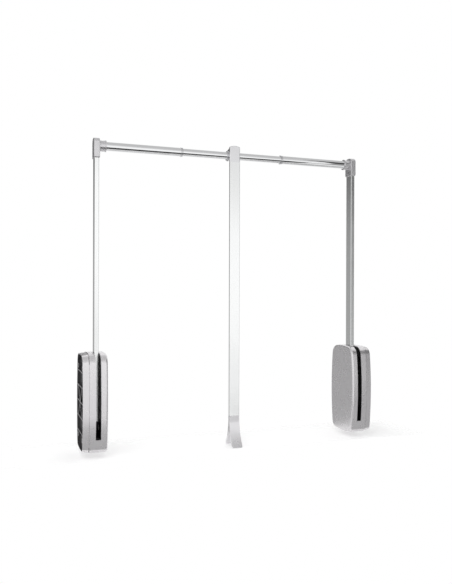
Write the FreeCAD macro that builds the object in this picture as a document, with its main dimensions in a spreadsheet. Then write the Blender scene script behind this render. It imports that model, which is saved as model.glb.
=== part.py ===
"""Pull down closet rod: a telescopic rod on two sprung arms that swing down out of a wardrobe.

Millimetres, +X to the right, +Y to the back, +Z up. The origin is the centre of the left unit's
wall screws, on the wardrobe side that it is screwed to. The rod and both arms' middles lie on Y = 0.
The left side is drawn and the right side is its mirror image.
"""
import FreeCAD, Part
import math
import os
import re

import Sketcher
from FreeCAD import Rotation, Vector

DIMENSIONS = [
    # the whole lift
    ("arm_span", 800, "between the two arms' middles, as the width is first set"),
    ("arm_reach", 775, "pivot axis to rod axis"),
    ("swing_angle", 98, "degrees that the arms swing forward and down"),
    # side unit: two mouldings with one soft rounded outline
    ("wall_to_arm", 41.5, "wall side of a unit to its arm's middle"),
    ("arm_to_face", 25.5, "arm's middle to the unit's inner face"),
    ("unit_height", 271, "outline at its tallest"),
    ("unit_depth", 136, "outline at its deepest"),
    ("unit_set_back", 7, "outline's middle behind the arms"),
    ("side_radius", 925, "bulge of the outline's front and back"),
    ("end_radius", 300, "bulge of the outline's top and bottom"),
    ("top_corner", 30, "outline's two upper corner radii"),
    ("bottom_corner", 20, "outline's two lower corner radii"),
    # front cover
    ("cover_wall", 2.6, "wall of the cover"),
    ("cover_edge", 4, "rounding round the inner face"),
    ("slot_width", 14, "slot that the arm swings through"),
    ("slot_from_bottom", 39.5, "unit's bottom to the slot's square lower end"),
    ("slot_behind_arm", 2, "slot's end behind the arm, on top"),
    # back shell
    ("seam_from_wall", 16.6, "wall side to the seam"),
    ("seam_gap", 0.4, "visible groove between shell and cover"),
    ("shell_inset", 1.2, "shell's outline inside the cover's, at the seam"),
    ("shell_draft", 8, "degrees that the shell's side leans in towards the wall"),
    ("shell_wall", 2.4, "rim that stands on the wall"),
    ("shell_pocket", 8, "depth of the ribbed pockets on the wall side"),
    ("shell_web", 2.5, "floor of those pockets"),
    ("lip_gap", 0.3, "between the shell's lip and the cover"),
    ("lip_wall", 1.6, "lip that the cover snaps over"),
    ("lip_height", 3.4, "lip beyond the shell's edge"),
    ("rib_wall", 2, "ribs in the pockets"),
    ("rib_recess", 0.6, "ribs stand back from the wall by this"),
    ("rib_pitch", 42, "between level ribs"),
    ("rib_rows", 5, "level ribs"),
    ("brace_half_width", 40, "crossed braces, half their width"),
    ("wall_screw_pitch_y", 90, "wall screws, front to back"),
    ("wall_screw_pitch_z", 192, "wall screws, top to bottom"),
    ("wall_screw_hole", 5.5, "diameter"),
    ("wall_boss", 14, "boss round each wall screw, diameter"),
    ("chassis_boss", 9, "boss under each chassis screw, diameter"),
    ("low_screws_down", 17, "channel's floor to the two lower chassis screws"),
    ("low_screw_forward", 38, "pivot axis to the front one of them"),
    ("low_screw_back", 8, "pivot axis to the back one of them"),
    ("back_screw_inset", 11, "unit's back to the rear chassis screw"),
    ("high_screw_back", 8, "channel's back web to the upper chassis screw"),
    ("high_screw_up", 12, "spring's seat to the upper chassis screw"),
    # chassis: two plates with the arm's channel between them
    ("chassis_gap", 0.8, "chassis plates to the cover's inside"),
    ("chassis_wall", 2.5, "each plate"),
    ("channel_width", 15, "between the plates"),
    ("channel_behind_arm", 4, "arm's back to the channel's back web"),
    ("channel_web", 3, "back web and floor of the channel"),
    ("floor_below_slot", 1, "channel's floor under the slot's end"),
    ("step_height", 3, "raised bands across the channel's outer plate"),
    ("step_stand_out", 0.8, "how far those bands stand out"),
    ("step_pitch", 49, "between those bands"),
    ("step_first", 76, "slot's end to the first band's middle"),
    ("step_margin", 3, "plate's front edge to the bands"),
    ("step_rows", 3, "raised bands"),
    ("driver_hole", 12, "holes that let a screwdriver through to the wall screws"),
    ("head_access_gap", 0.4, "round a chassis screw's head, in the inner plate's holes"),
    # pivot
    ("pivot_from_bottom", 65.5, "unit's bottom to the pivot axis"),
    ("shaft_diameter", 12, "pivot shaft"),
    ("shaft_flat", 4.5, "shaft's middle to its flat"),
    ("shaft_outer_end", 12, "wall side to the shaft's outer end"),
    ("shaft_inner_stub", 3, "shaft beyond the inner plate"),
    ("running_clearance", 0.05, "radial, between a shaft and its bush"),
    ("bush_wall", 2, "pivot bush"),
    ("bush_flange", 1.2, "pivot bush's flange"),
    ("bush_flange_rim", 2, "flange beyond the bush's outside"),
    ("clip_wall", 2.2, "retaining clips round the shaft"),
    ("clip_thickness", 1.2, "retaining clips"),
    ("clip_gap", 0.4, "clips to the plate and to the pinion"),
    # rack, pinion, spring and damper
    ("tooth_module", 2, "pinion and rack"),
    ("pinion_teeth", 15, "whole turn"),
    ("pressure_angle", 20, "degrees"),
    ("rack_addendum", 1.6, "rack tooth above its pitch line"),
    ("tooth_backlash", 0.3, "tooth thickness left out of each tooth"),
    ("pinion_from_wall", 14, "wall side to the pinion"),
    ("pinion_width", 13, "pinion's face"),
    ("rack_from_wall", 13.2, "wall side to the rack"),
    ("rack_width", 15, "rack's face"),
    ("rack_back", 8, "rack behind its teeth"),
    ("rack_teeth", 8, "teeth on the rack"),
    ("rack_shoe", 4, "plate on the rack that carries spring and damper rod"),
    ("rack_shoe_end", 6, "that plate behind the damper's axis"),
    ("rack_above_pivot", 20, "pivot axis to the top of that plate"),
    ("slide_gap", 0.4, "rack to its guide"),
    ("guide_wall", 3.4, "guide behind the rack and seat over the spring"),
    ("spring_length", 132, "lift spring, fitted"),
    ("spring_coil", 7, "coil's mean radius"),
    ("spring_wire", 2.2, "wire diameter"),
    ("spring_pitch", 8, "between coils"),
    ("spring_behind_pivot", 24, "pivot axis to the spring's axis"),
    ("mechanism_from_wall", 20.7, "wall side to the axes of spring and damper"),
    ("spring_guide_radius", 4.4, "guide rod inside the spring"),
    ("damper_behind_pivot", 48, "pivot axis to the damper's axis"),
    ("damper_radius", 8.5, "cylinder"),
    ("damper_bore", 6, "cylinder's bore, radius"),
    ("damper_above_shoe", 34, "rack's plate to the cylinder"),
    ("damper_length", 74, "cylinder"),
    ("damper_end", 3, "cylinder's end walls"),
    ("damper_rod_radius", 3, "piston rod"),
    ("piston_length", 8, "piston, and its height over the cylinder's lower end"),
    ("cradle_length", 10, "chassis cradle round the cylinder"),
    # screws and rivets
    ("machine_screw", 4, "chassis screws, diameter"),
    ("screw_tip", 4, "pocket floor to the chassis screws' tips"),
    ("screw_head", 7.6, "chassis screws' heads, diameter"),
    ("screw_head_height", 2.4, "chassis screws' heads"),
    ("rivet_diameter", 5, "rivets through each arm"),
    # rubber stops
    ("stop_gap", 0.3, "raised arm to its rubber stop"),
    ("stop_width", 9, "rubber stops, across the arm"),
    ("stop_length", 16, "rubber stops, along the arm"),
    ("high_stop_down", 32, "unit's top to the upper stop's lower end"),
    ("low_stop_height", 4.6, "lower stop above the channel's floor"),
    ("low_stop_forward", 27, "pivot axis to the lower stop's back"),
    # arm
    ("arm_width", 12, "oval section, side to side"),
    ("arm_depth", 30, "oval section, front to back"),
    ("arm_wall", 1.6, "wall of the extruded arm"),
    ("arm_corner", 3.5, "corner radius of the section"),
    ("foot_length", 17, "pivot axis to the arm's lower end"),
    ("tongue_length", 60, "foot inside the arm"),
    ("tongue_play", 0.1, "each side of a tongue in its profile"),
    # corner connector and telescopic rod
    ("connector_width", 16, "side to side"),
    ("connector_depth", 37, "front to back"),
    ("connector_above_rod", 20.5, "rod axis to the connector's crown"),
    ("connector_below_rod", 35.5, "rod axis to the connector's foot"),
    ("connector_crown", 3, "rise of the crown's arch"),
    ("connector_shoulder", 12, "rounding of the crown's ends"),
    ("connector_heel", 4, "rounding of the foot's ends"),
    ("arm_below_rod", 14, "rod axis to the arm's upper end"),
    ("tube_from_arm", 3, "arm's middle to the outer tube's end"),
    ("outer_tube", 25, "diameter"),
    ("inner_tube", 22, "diameter"),
    ("tube_wall", 1.2, "both tubes"),
    ("outer_tube_end", 244, "arm's middle to the outer tube's mouth"),
    ("inner_tube_length", 690, "middle tube"),
    ("collar_length", 19, "collar round the tube's end"),
    ("collar_wall", 2.6, "collar"),
    ("collar_lip", 0.9, "collar's end ring beyond its wall"),
    ("collar_lip_length", 2.5, "collar's end ring"),
    ("grub_screw", 5, "grub screw under the collar, diameter"),
    ("guide_ring_wall", 0.6, "guide ring over the outer tube's mouth"),
    ("guide_ring_length", 6, "guide ring"),
    ("guide_ring_lip", 2, "guide ring beyond the tube's mouth"),
    ("slide_clearance", 0.1, "radial, plastic guides of the telescopic rod"),
    ("glide_flange", 3, "glide beyond the inner tube's end"),
    ("glide_depth", 14, "glide inside the inner tube"),
    # pull handle
    ("bar_width", 31, "flat bar, side to side"),
    ("bar_thickness", 8, "flat bar, front to back"),
    ("bar_behind_front", 16, "rod axis to the bar's back"),
    ("bar_wall", 1.3, "wall of the extruded bar"),
    ("bar_corner", 2, "corner radius of the section"),
    ("head_above_rod", 26, "rod axis to the head's crown"),
    ("head_below_rod", 21.5, "rod axis to the head's lower edge"),
    ("head_crown", 3, "rise of the head's arch"),
    ("hub_radius", 16, "hub round the rod"),
    ("hub_root_above_rod", 20, "rod axis to the hub's top where it leaves the plate"),
    ("hub_root", 1, "hub's depth inside the plate"),
    ("hub_bush_wall", 1.5, "bush in the hub"),
    ("hub_bush_stub", 3.5, "bush beyond each side of the hub"),
    ("hub_bush_rim", 1, "bush's flange beyond the bush"),
    ("bar_length", 744, "bar between head and grip"),
    ("bar_tongue", 25, "head and grip inside the bar"),
    ("tongue_root", 2, "tongues start this far inside the head and the grip"),
    ("handle_screw", 3.2, "diameter"),
    ("handle_screw_head", 6.8, "diameter"),
    ("grip_band", 17, "straight band at the grip's top"),
    ("grip_length", 88, "whole grip"),
    ("grip_crotch", 44, "grip's top to where its wings part"),
    ("wing_forward", 29, "front wing's tip before the bar's front"),
    ("wing_back", 27.5, "back wing's tip behind the bar's back"),
    ("wing_thickness", 5, "each wing at its tip"),
    ("wing_radius", 160, "sweep of the wings"),
    ("wing_corner", 6, "rounding of the wings' tips"),
]
NAMES = {name for name, value, meaning in DIMENSIONS}
CLOSE = 0.01  # places closer than this are the same, in millimetres or cubic millimetres

# places that many pieces share, as expressions on the sheet's names
FACE_X = "(wall_to_arm + arm_to_face)"
MIDDLE_X = "(wall_to_arm + arm_span / 2)"
SHELL_TOP_X = "(seam_from_wall - seam_gap / 2)"
COVER_X = "(seam_from_wall + seam_gap / 2)"
WEB_X = "(shell_pocket + shell_web)"
CHANNEL_X = "(wall_to_arm - channel_width / 2)"
PLATE_X = "(wall_to_arm - channel_width / 2 - chassis_wall)"
CONNECTOR_X = "(wall_to_arm + connector_width / 2)"
PIVOT_Z = "(pivot_from_bottom - unit_height / 2)"
ROD_Z = "(pivot_from_bottom - unit_height / 2 + arm_reach)"
SLOT_Z = "(slot_from_bottom - unit_height / 2)"
FLOOR_Z = "(slot_from_bottom - unit_height / 2 - floor_below_slot)"
CHANNEL_Y = "(arm_depth / 2 + channel_behind_arm)"
SHOE_Z = f"({PIVOT_Z} + rack_above_pivot)"
SEAT_Z = f"({SHOE_Z} + spring_length)"
DAMPER_Z = f"({SHOE_Z} + damper_above_shoe)"
PITCH_RADIUS = "(tooth_module * pinion_teeth / 2)"
TOOTH_PITCH = "(tooth_module * pi)"
TOOTH_ROOT = "(tooth_module * 1.25)"  # a standard tooth's depth below its pitch line
TEETH_Z = f"({PIVOT_Z} + {TOOTH_PITCH} * 2 - {TOOTH_PITCH} * rack_teeth)"
HEAD_Z = f"({ROD_Z} - head_below_rod)"
GRIP_Z = f"({ROD_Z} - head_below_rod - bar_length)"
BAR_Y = "(0 - bar_behind_front - bar_thickness)"
LONG = "(unit_height + unit_depth)"  # longer than any cut through a unit

# chassis screws: Y and Z of each, two below the arm's channel and two behind it
LOW_SCREWS_Z = f"({FLOOR_Z} - channel_web - low_screws_down)"
CHASSIS_SCREWS = [
    ("0 - low_screw_forward", LOW_SCREWS_Z),
    ("low_screw_back", LOW_SCREWS_Z),
    ("unit_set_back + unit_depth / 2 - back_screw_inset", "0"),
    (f"{CHANNEL_Y} + channel_web + high_screw_back", f"{SEAT_Z} + guide_wall + high_screw_up"),
]

doc = FreeCAD.newDocument("ClosetLift")
sheet = doc.addObject("Spreadsheet::Sheet", "Dimensions")
for row, (name, value, meaning) in enumerate(DIMENSIONS, 1):
    sheet.set(f"A{row}", name)
    sheet.set(f"B{row}", str(value))
    sheet.set(f"C{row}", meaning)
    sheet.setAlias(f"B{row}", name)
doc.recompute()

nodes = {}


# ---------------------------------------------------------------- small tools for every piece

def bound(expression):
    """The expression with each dimension's name pointing at its cell in the sheet."""
    def in_sheet(word):
        return f"Dimensions.{word[0]}" if word[0] in NAMES else word[0]

    return re.sub(r"[a-z]\w*", in_sheet, expression)


def size(expression):
    """The expression's value, in millimetres or degrees."""
    return float(sheet.evalExpression(expression))


def drive(thing, **expressions):
    """Bind properties to the sheet. A double underscore stands for a dot."""
    for name, expression in expressions.items():
        thing.setExpression(name.replace("__", "."), bound(expression))


def place(thing, x="0", y="0", z="0"):
    drive(thing, Placement__Base__x=x, Placement__Base__y=y, Placement__Base__z=z)
    return thing


def finished(node, thing):
    """Give a sub-part its own label, which is also its node's and file's name."""
    thing.Label = node
    nodes[node] = thing
    return thing


def new_body(name):
    return doc.addObject("PartDesign::Body", name)


def new_sketch(body, role, height="0", x="0", y="0"):
    """A sketch on one of the body's own planes, its origin moved by x, y and height."""
    plane = next(item for item in body.Origin.OriginFeatures if item.Role == role)
    sketch = body.newObject("Sketcher::SketchObject", "Sketch")
    sketch.AttachmentSupport = [(plane, "")]
    sketch.MapMode = "FlatFace"
    drive(sketch, AttachmentOffset__Base__x=x, AttachmentOffset__Base__y=y, AttachmentOffset__Base__z=height)
    return sketch


def pin_point(sketch, geometry, point, x, y):
    """Hold one point of a sketch at x, y from the sketch's origin."""
    for kind, expression in (("DistanceX", x), ("DistanceY", y)):
        index = sketch.addConstraint(Sketcher.Constraint(kind, -1, 1, geometry, point, size(expression)))
        sketch.setExpression(f"Constraints[{index}]", bound(expression))


def hold_radius(sketch, geometry, radius):
    index = sketch.addConstraint(Sketcher.Constraint("Radius", geometry, size(radius)))
    sketch.setExpression(f"Constraints[{index}]", bound(radius))


def add_circle(sketch, x, y, radius):
    circle = sketch.addGeometry(Part.Circle(Vector(size(x), size(y)), Vector(0, 0, 1), size(radius)))
    pin_point(sketch, circle, 3, x, y)
    hold_radius(sketch, circle, radius)


def add_outline(sketch, vertices):
    """A closed outline. A vertex is (x, y), or (x, y, radius, side) where an arc leads to the next:
    side 1 bends it as a counterclockwise outline's rounding does, and -1 the other way."""
    ends = []
    for this, after in zip(vertices, vertices[1:] + vertices[:1]):
        start = Vector(size(this[0]), size(this[1]))
        end = Vector(size(after[0]), size(after[1]))
        if len(this) == 2:
            ends.append((sketch.addGeometry(Part.LineSegment(start, end)), 1, 2))
            continue
        radius, side = size(this[2]), this[3]
        chord = end - start
        across = Vector(-chord.y, chord.x).normalize() * side
        centre = (start + end) / 2 + across * math.sqrt(radius ** 2 - chord.Length ** 2 / 4)
        first, last = (start, end) if side > 0 else (end, start)
        from_angle = math.atan2(first.y - centre.y, first.x - centre.x)
        to_angle = math.atan2(last.y - centre.y, last.x - centre.x)
        if to_angle < from_angle:
            to_angle += 2 * math.pi
        circle = Part.Circle(centre, Vector(0, 0, 1), radius)
        arc = sketch.addGeometry(Part.ArcOfCircle(circle, from_angle, to_angle))
        ends.append((arc, 1, 2) if side > 0 else (arc, 2, 1))
        hold_radius(sketch, arc, this[2])
    for (geometry, start, end), following in zip(ends, ends[1:] + ends[:1]):
        sketch.addConstraint(Sketcher.Constraint("Coincident", geometry, end, following[0], following[1]))
    for (geometry, start, end), vertex in zip(ends, vertices):
        pin_point(sketch, geometry, start, vertex[0], vertex[1])


def add_rectangle(sketch, left, bottom, right, top):
    add_outline(sketch, [(left, bottom), (right, bottom), (right, top), (left, top)])


def add_rounded_rectangle(sketch, x, y, width, depth, corner):
    """A rectangle about x, y with all four corners rounded."""
    left, right = f"{x} - ({width}) / 2", f"{x} + ({width}) / 2"
    front, back = f"{y} - ({depth}) / 2", f"{y} + ({depth}) / 2"
    add_outline(sketch, [
        (f"{left} + ({corner})", front), (f"{right} - ({corner})", front, corner, 1),
        (right, f"{front} + ({corner})"), (right, f"{back} - ({corner})", corner, 1),
        (f"{right} - ({corner})", back), (f"{left} + ({corner})", back, corner, 1),
        (left, f"{back} - ({corner})"), (left, f"{front} + ({corner})", corner, 1),
    ])


def add_unit_outline(sketch, inset):
    """A side unit's outline: four bulging sides and four round corners, all tangent, moved in by inset."""
    sides = [
        ("unit_set_back + unit_depth / 2 - side_radius", "0", "side_radius"),
        ("unit_set_back", "unit_height / 2 - end_radius", "end_radius"),
        ("unit_set_back - unit_depth / 2 + side_radius", "0", "side_radius"),
        ("unit_set_back", "end_radius - unit_height / 2", "end_radius"),
    ]
    corners = ["top_corner", "top_corner", "bottom_corner", "bottom_corner"]
    centres = [Vector(size(x), size(y)) for x, y, radius in sides]
    rounded = []
    for index, corner in enumerate(corners):
        # a corner's centre is as far from each side's centre as the two radii differ
        here, there = centres[index], centres[(index + 1) % 4]
        near = size(sides[index][2]) - size(corner)
        far = size(sides[(index + 1) % 4][2]) - size(corner)
        between = there - here
        along = (near ** 2 - far ** 2 + between.Length ** 2) / (2 * between.Length)
        off = math.sqrt(near ** 2 - along ** 2)
        unit = between / between.Length
        options = [here + unit * along + Vector(-unit.y, unit.x) * off * sign for sign in (1, -1)]
        quadrant = Vector((1, -1, -1, 1)[index], (1, 1, -1, -1)[index])
        rounded.append(max(options, key=quadrant.dot))

    def heading(origin, point):
        return math.atan2(point.y - origin.y, point.x - origin.x)

    def add_arc(centre, radius, from_angle, to_angle):
        if to_angle < from_angle:
            to_angle += 2 * math.pi
        circle = Part.Circle(centre, Vector(0, 0, 1), size(radius))
        arc = sketch.addGeometry(Part.ArcOfCircle(circle, from_angle, to_angle))
        hold_radius(sketch, arc, radius)
        return arc

    arcs = []
    for index, (x, y, radius) in enumerate(sides):
        centre, corner_centre = centres[index], rounded[index]
        side_arc = add_arc(centre, f"{radius} - ({inset})", heading(centre, rounded[index - 1]),
                           heading(centre, corner_centre))
        pin_point(sketch, side_arc, 3, x, y)
        corner_arc = add_arc(corner_centre, f"{corners[index]} - ({inset})", heading(centre, corner_centre),
                             heading(centres[(index + 1) % 4], corner_centre))
        arcs += [side_arc, corner_arc]
    for this, after in zip(arcs, arcs[1:] + arcs[:1]):
        sketch.addConstraint(Sketcher.Constraint("Tangent", this, 2, after, 1))


def pad(body, sketch, length, reverse=False):
    """Material along the sketch's normal, or against it."""
    feature = body.newObject("PartDesign::Pad", "Pad")
    feature.Profile = sketch
    feature.Reversed = reverse
    drive(feature, Length=length)
    doc.recompute()
    return feature


def pocket(body, sketch, length):
    """A cut along the sketch's normal. It has to take material away."""
    before = body.Shape.Volume
    feature = body.newObject("PartDesign::Pocket", "Pocket")
    feature.Profile = sketch
    feature.Reversed = True
    drive(feature, Length=length)
    doc.recompute()
    if body.Shape.Volume > before - CLOSE:
        raise RuntimeError(f"{body.Name}: a pocket cuts nothing")
    return feature


def repeat(body, features, sketch, axis, length, occurrences):
    """Copies in a row along one of the sketch's axes."""
    pattern = body.newObject("PartDesign::LinearPattern", "LinearPattern")
    pattern.Originals = features
    pattern.Direction = (sketch, [axis])
    drive(pattern, Length=length, Occurrences=occurrences)
    body.Tip = pattern
    doc.recompute()
    return pattern


def round_edges(body, chosen, radius):
    """Fillet the edges of the body's tip that chosen() picks."""
    base = body.Tip
    names = [f"Edge{number}" for number, edge in enumerate(base.Shape.Edges, 1) if chosen(edge)]
    feature = body.newObject("PartDesign::Fillet", "Fillet")
    feature.Base = (base, names)
    drive(feature, Radius=radius)
    doc.recompute()
    return feature


def cylinder(radius, length, along="Z", x="0", y="0", z="0"):
    """A round bar from x, y, z along an axis."""
    bar = doc.addObject("Part::Cylinder", "Cylinder")
    turns = {"X": Rotation(Vector(0, 1, 0), 90), "Y": Rotation(Vector(1, 0, 0), -90), "Z": Rotation()}
    bar.Placement.Rotation = turns[along]
    drive(bar, Radius=radius, Height=length)
    return place(bar, x, y, z)


def box(x, y, z, length, width, height):
    block = doc.addObject("Part::Box", "Box")
    drive(block, Length=length, Width=width, Height=height)
    return place(block, x, y, z)


def cut(base, tool):
    result = doc.addObject("Part::Cut", "Cut")
    result.Base, result.Tool = base, tool
    return result


def fuse(*shapes):
    result = doc.addObject("Part::MultiFuse", "Fusion")
    result.Shapes = list(shapes)
    return result


def group(*shapes):
    """Several separate solids in one sub-part."""
    result = doc.addObject("Part::Compound", "Compound")
    result.Links = list(shapes)
    return result


def mirrored(source, x):
    """The mirror image in a plane across X."""
    image = doc.addObject("Part::Mirroring", "Mirroring")
    image.Source = source
    image.Normal = Vector(1, 0, 0)
    drive(image, Base__x=x)
    return image


def on_line(edge, direction):
    """Whether an edge is straight and runs along an axis."""
    if edge.Curve.TypeId != "Part::GeomLine":
        return False
    return abs(edge.tangentAt(edge.FirstParameter).dot(direction)) > 1 - CLOSE


# ---------------------------------------------------------------- side unit: shell, cover, chassis

def back_shell():
    """Moulded shell: a leaning rim, a floor, ribs and screw bosses towards the wall, a lip to the cover."""
    body = new_body("BackShell")
    rim = new_sketch(body, "YZ_Plane", SHELL_TOP_X)
    add_unit_outline(rim, "shell_inset")
    solid = pad(body, rim, SHELL_TOP_X, reverse=True)
    drive(solid, TaperAngle="0 - shell_draft")
    doc.recompute()

    lean = f"({SHELL_TOP_X} * tan(shell_draft))"
    pockets = new_sketch(body, "YZ_Plane")
    add_unit_outline(pockets, f"shell_inset + {lean} + shell_wall")
    pocket(body, pockets, "shell_pocket")

    lip_inside = "cover_wall + lip_gap + lip_wall"
    inside = new_sketch(body, "YZ_Plane", WEB_X)
    add_unit_outline(inside, lip_inside)
    pocket(body, inside, f"{SHELL_TOP_X} - {WEB_X}")

    lip = new_sketch(body, "YZ_Plane", f"{SHELL_TOP_X} - lip_wall")
    add_unit_outline(lip, "cover_wall + lip_gap")
    add_unit_outline(lip, lip_inside)
    pad(body, lip, "lip_height + lip_wall")

    rib_length = "shell_pocket - rib_recess + shell_web / 2"
    levels = new_sketch(body, "YZ_Plane", "rib_recess", x="unit_set_back")
    for row in range(int(size("rib_rows"))):
        # each rib ends inside the rim, which bulges
        z = f"(rib_pitch * ({row} - (rib_rows - 1) / 2))"
        rim_radius = f"(side_radius - shell_inset - {lean} - shell_wall / 2)"
        reach = f"(sqrt({rim_radius} ^ 2 - {z} ^ 2) - side_radius + unit_depth / 2)"
        add_rectangle(levels, f"0 - {reach}", f"{z} - rib_wall / 2", reach, f"{z} + rib_wall / 2")
    pad(body, levels, rib_length)
    for side in ("1", "(0 - 1)"):
        brace = new_sketch(body, "YZ_Plane", "rib_recess", x="unit_set_back")
        lower, upper = f"{side} * (0 - brace_half_width)", f"{side} * brace_half_width"
        add_outline(brace, [
            (lower, "0 - rib_pitch - rib_wall"), (upper, "rib_pitch - rib_wall"),
            (upper, "rib_pitch + rib_wall"), (lower, "rib_wall - rib_pitch"),
        ][::1 if side == "1" else -1])
        pad(body, brace, rib_length)

    wall_bosses = new_sketch(body, "YZ_Plane")
    for y, z in wall_screws():
        add_circle(wall_bosses, y, z, "wall_boss / 2")
    pad(body, wall_bosses, WEB_X)
    chassis_bosses = new_sketch(body, "YZ_Plane", f"{WEB_X} - shell_web / 2")
    for y, z in CHASSIS_SCREWS:
        add_circle(chassis_bosses, y, z, "chassis_boss / 2")
    pad(body, chassis_bosses, f"{PLATE_X} - {WEB_X} + shell_web / 2")

    holes = new_sketch(body, "YZ_Plane")
    for y, z in wall_screws():
        add_circle(holes, y, z, "wall_screw_hole / 2")
    pocket(body, holes, WEB_X)
    pilots = new_sketch(body, "YZ_Plane", WEB_X)
    for y, z in CHASSIS_SCREWS:
        add_circle(pilots, y, z, "machine_screw / 2")
    pocket(body, pilots, f"{PLATE_X} - {WEB_X}")
    return finished("left_back_shell", body)


def wall_screws():
    """Y and Z of the four wall screws, about the origin."""
    return [(f"{y} * wall_screw_pitch_y / 2", f"{z} * wall_screw_pitch_z / 2")
            for y in ("(0 - 1)", "1") for z in ("(0 - 1)", "1")]


def front_cover():
    """Moulded cover with a rounded inner face and the slot that runs up its front and over its top."""
    body = new_body("FrontCover")
    outline = new_sketch(body, "YZ_Plane", COVER_X)
    add_unit_outline(outline, "0")
    pad(body, outline, f"{FACE_X} - {COVER_X}")
    face = size(FACE_X)
    round_edges(body, lambda edge: edge.BoundBox.XMin > face - CLOSE, "cover_edge")
    inside = new_sketch(body, "YZ_Plane", COVER_X)
    add_unit_outline(inside, "cover_wall")
    pocket(body, inside, f"{FACE_X} - {COVER_X} - cover_wall")
    slot = new_sketch(body, "YZ_Plane", "wall_to_arm - slot_width / 2")
    add_rectangle(slot, f"0 - {LONG}", SLOT_Z, "arm_depth / 2 + slot_behind_arm", LONG)
    pocket(body, slot, "slot_width")
    return finished("left_front_cover", body)


def chassis():
    """Black moulding: two plates that carry the pivot, with the arm's channel between them, and on the
    outer plate the rack's guide, the spring's seat and the damper's cradle."""
    body = new_body("Chassis")
    plates = new_sketch(body, "YZ_Plane", PLATE_X)
    add_unit_outline(plates, "cover_wall + chassis_gap")
    pad(body, plates, "channel_width + chassis_wall * 2")

    hollows = new_sketch(body, "YZ_Plane", CHANNEL_X)
    add_rectangle(hollows, f"0 - {LONG}", FLOOR_Z, CHANNEL_Y, LONG)
    add_rectangle(hollows, f"{CHANNEL_Y} + channel_web", f"0 - {LONG}", LONG, LONG)
    add_rectangle(hollows, f"0 - {LONG}", f"0 - {LONG}", CHANNEL_Y, f"{FLOOR_Z} - channel_web")
    pocket(body, hollows, "channel_width")

    band = new_sketch(body, "YZ_Plane", f"{CHANNEL_X} - chassis_wall / 2", y=f"{SLOT_Z} + step_first")
    front = "unit_set_back - unit_depth / 2 + cover_wall + chassis_gap + step_margin"
    add_rectangle(band, front, "0 - step_height / 2", CHANNEL_Y, "step_height / 2")
    step = pad(body, band, "step_stand_out + chassis_wall / 2")
    repeat(body, [step], band, "V_Axis", "step_pitch * (step_rows - 1)", "step_rows")

    holes = new_sketch(body, "YZ_Plane", PLATE_X)
    add_circle(holes, "0", PIVOT_Z, "shaft_diameter / 2 + running_clearance + bush_wall")
    for y, z in wall_screws():
        add_circle(holes, y, z, "driver_hole / 2")
    pocket(body, holes, "channel_width + chassis_wall * 2")
    screw_holes = new_sketch(body, "YZ_Plane", PLATE_X)
    for y, z in CHASSIS_SCREWS:
        add_circle(screw_holes, y, z, "machine_screw / 2")
    pocket(body, screw_holes, "chassis_wall")
    screw_access = new_sketch(body, "YZ_Plane", "wall_to_arm + channel_width / 2")
    for y, z in CHASSIS_SCREWS:
        add_circle(screw_access, y, z, "screw_head / 2 + head_access_gap")
    pocket(body, screw_access, "chassis_wall")

    brackets = new_sketch(body, "YZ_Plane", "rack_from_wall")
    rack_back_y = f"{PITCH_RADIUS} + rack_back + slide_gap"
    add_rectangle(brackets, rack_back_y, f"{TEETH_Z} - {TOOTH_PITCH}", f"{rack_back_y} + guide_wall",
                  f"{SHOE_Z} - rack_shoe - slide_gap")
    add_rectangle(brackets, "spring_behind_pivot - spring_coil - spring_wire", SEAT_Z,
                  "spring_behind_pivot + spring_coil + spring_wire", f"{SEAT_Z} + guide_wall")
    add_rectangle(brackets, "damper_behind_pivot - damper_radius", f"{DAMPER_Z} + damper_length",
                  "damper_behind_pivot + damper_radius", f"{DAMPER_Z} + damper_length + guide_wall")
    pad(body, brackets, f"{PLATE_X} - rack_from_wall + chassis_wall / 2")
    cradle = new_sketch(body, "YZ_Plane", "mechanism_from_wall")
    cradle_z = f"{DAMPER_Z} + damper_end"
    add_rectangle(cradle, "damper_behind_pivot - damper_radius - guide_wall", cradle_z,
                  "damper_behind_pivot + damper_radius + guide_wall", f"{cradle_z} + cradle_length")
    pad(body, cradle, f"{PLATE_X} - mechanism_from_wall + chassis_wall / 2")
    bore = new_sketch(body, "XY_Plane", cradle_z)
    add_circle(bore, "mechanism_from_wall", "damper_behind_pivot", "damper_radius")
    pocket(body, bore, "cradle_length")
    rod_hole = new_sketch(body, "XY_Plane", SEAT_Z)
    add_circle(rod_hole, "mechanism_from_wall", "spring_behind_pivot", "spring_guide_radius")
    pocket(body, rod_hole, "guide_wall")
    return finished("left_chassis", body)


def chassis_screws():
    """Pan head screws that hold the chassis on the shell's bosses."""
    screws = []
    tip = f"{WEB_X} + screw_tip"
    for y, z in CHASSIS_SCREWS:
        shank = cylinder("machine_screw / 2", f"{CHANNEL_X} - ({tip})", "X", tip, y, z)
        head = cylinder("screw_head / 2", "screw_head_height", "X", CHANNEL_X, y, z)
        screws.append(fuse(shank, head))
    return finished("left_chassis_screws", group(*screws))


def stop_bumpers():
    """Rubber blocks that stop the arm, one behind it when raised and one under it when lowered."""
    across = "wall_to_arm - stop_width / 2"
    raised = box(across, "arm_depth / 2 + stop_gap", "unit_height / 2 - high_stop_down",
                 "stop_width", "channel_behind_arm - stop_gap", "stop_length")
    lowered = box(across, "0 - low_stop_forward - stop_length", FLOOR_Z,
                  "stop_width", "stop_length", "low_stop_height")
    return finished("left_stop_bumpers", group(raised, lowered))


# ---------------------------------------------------------------- pivot, pinion and rack

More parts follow.
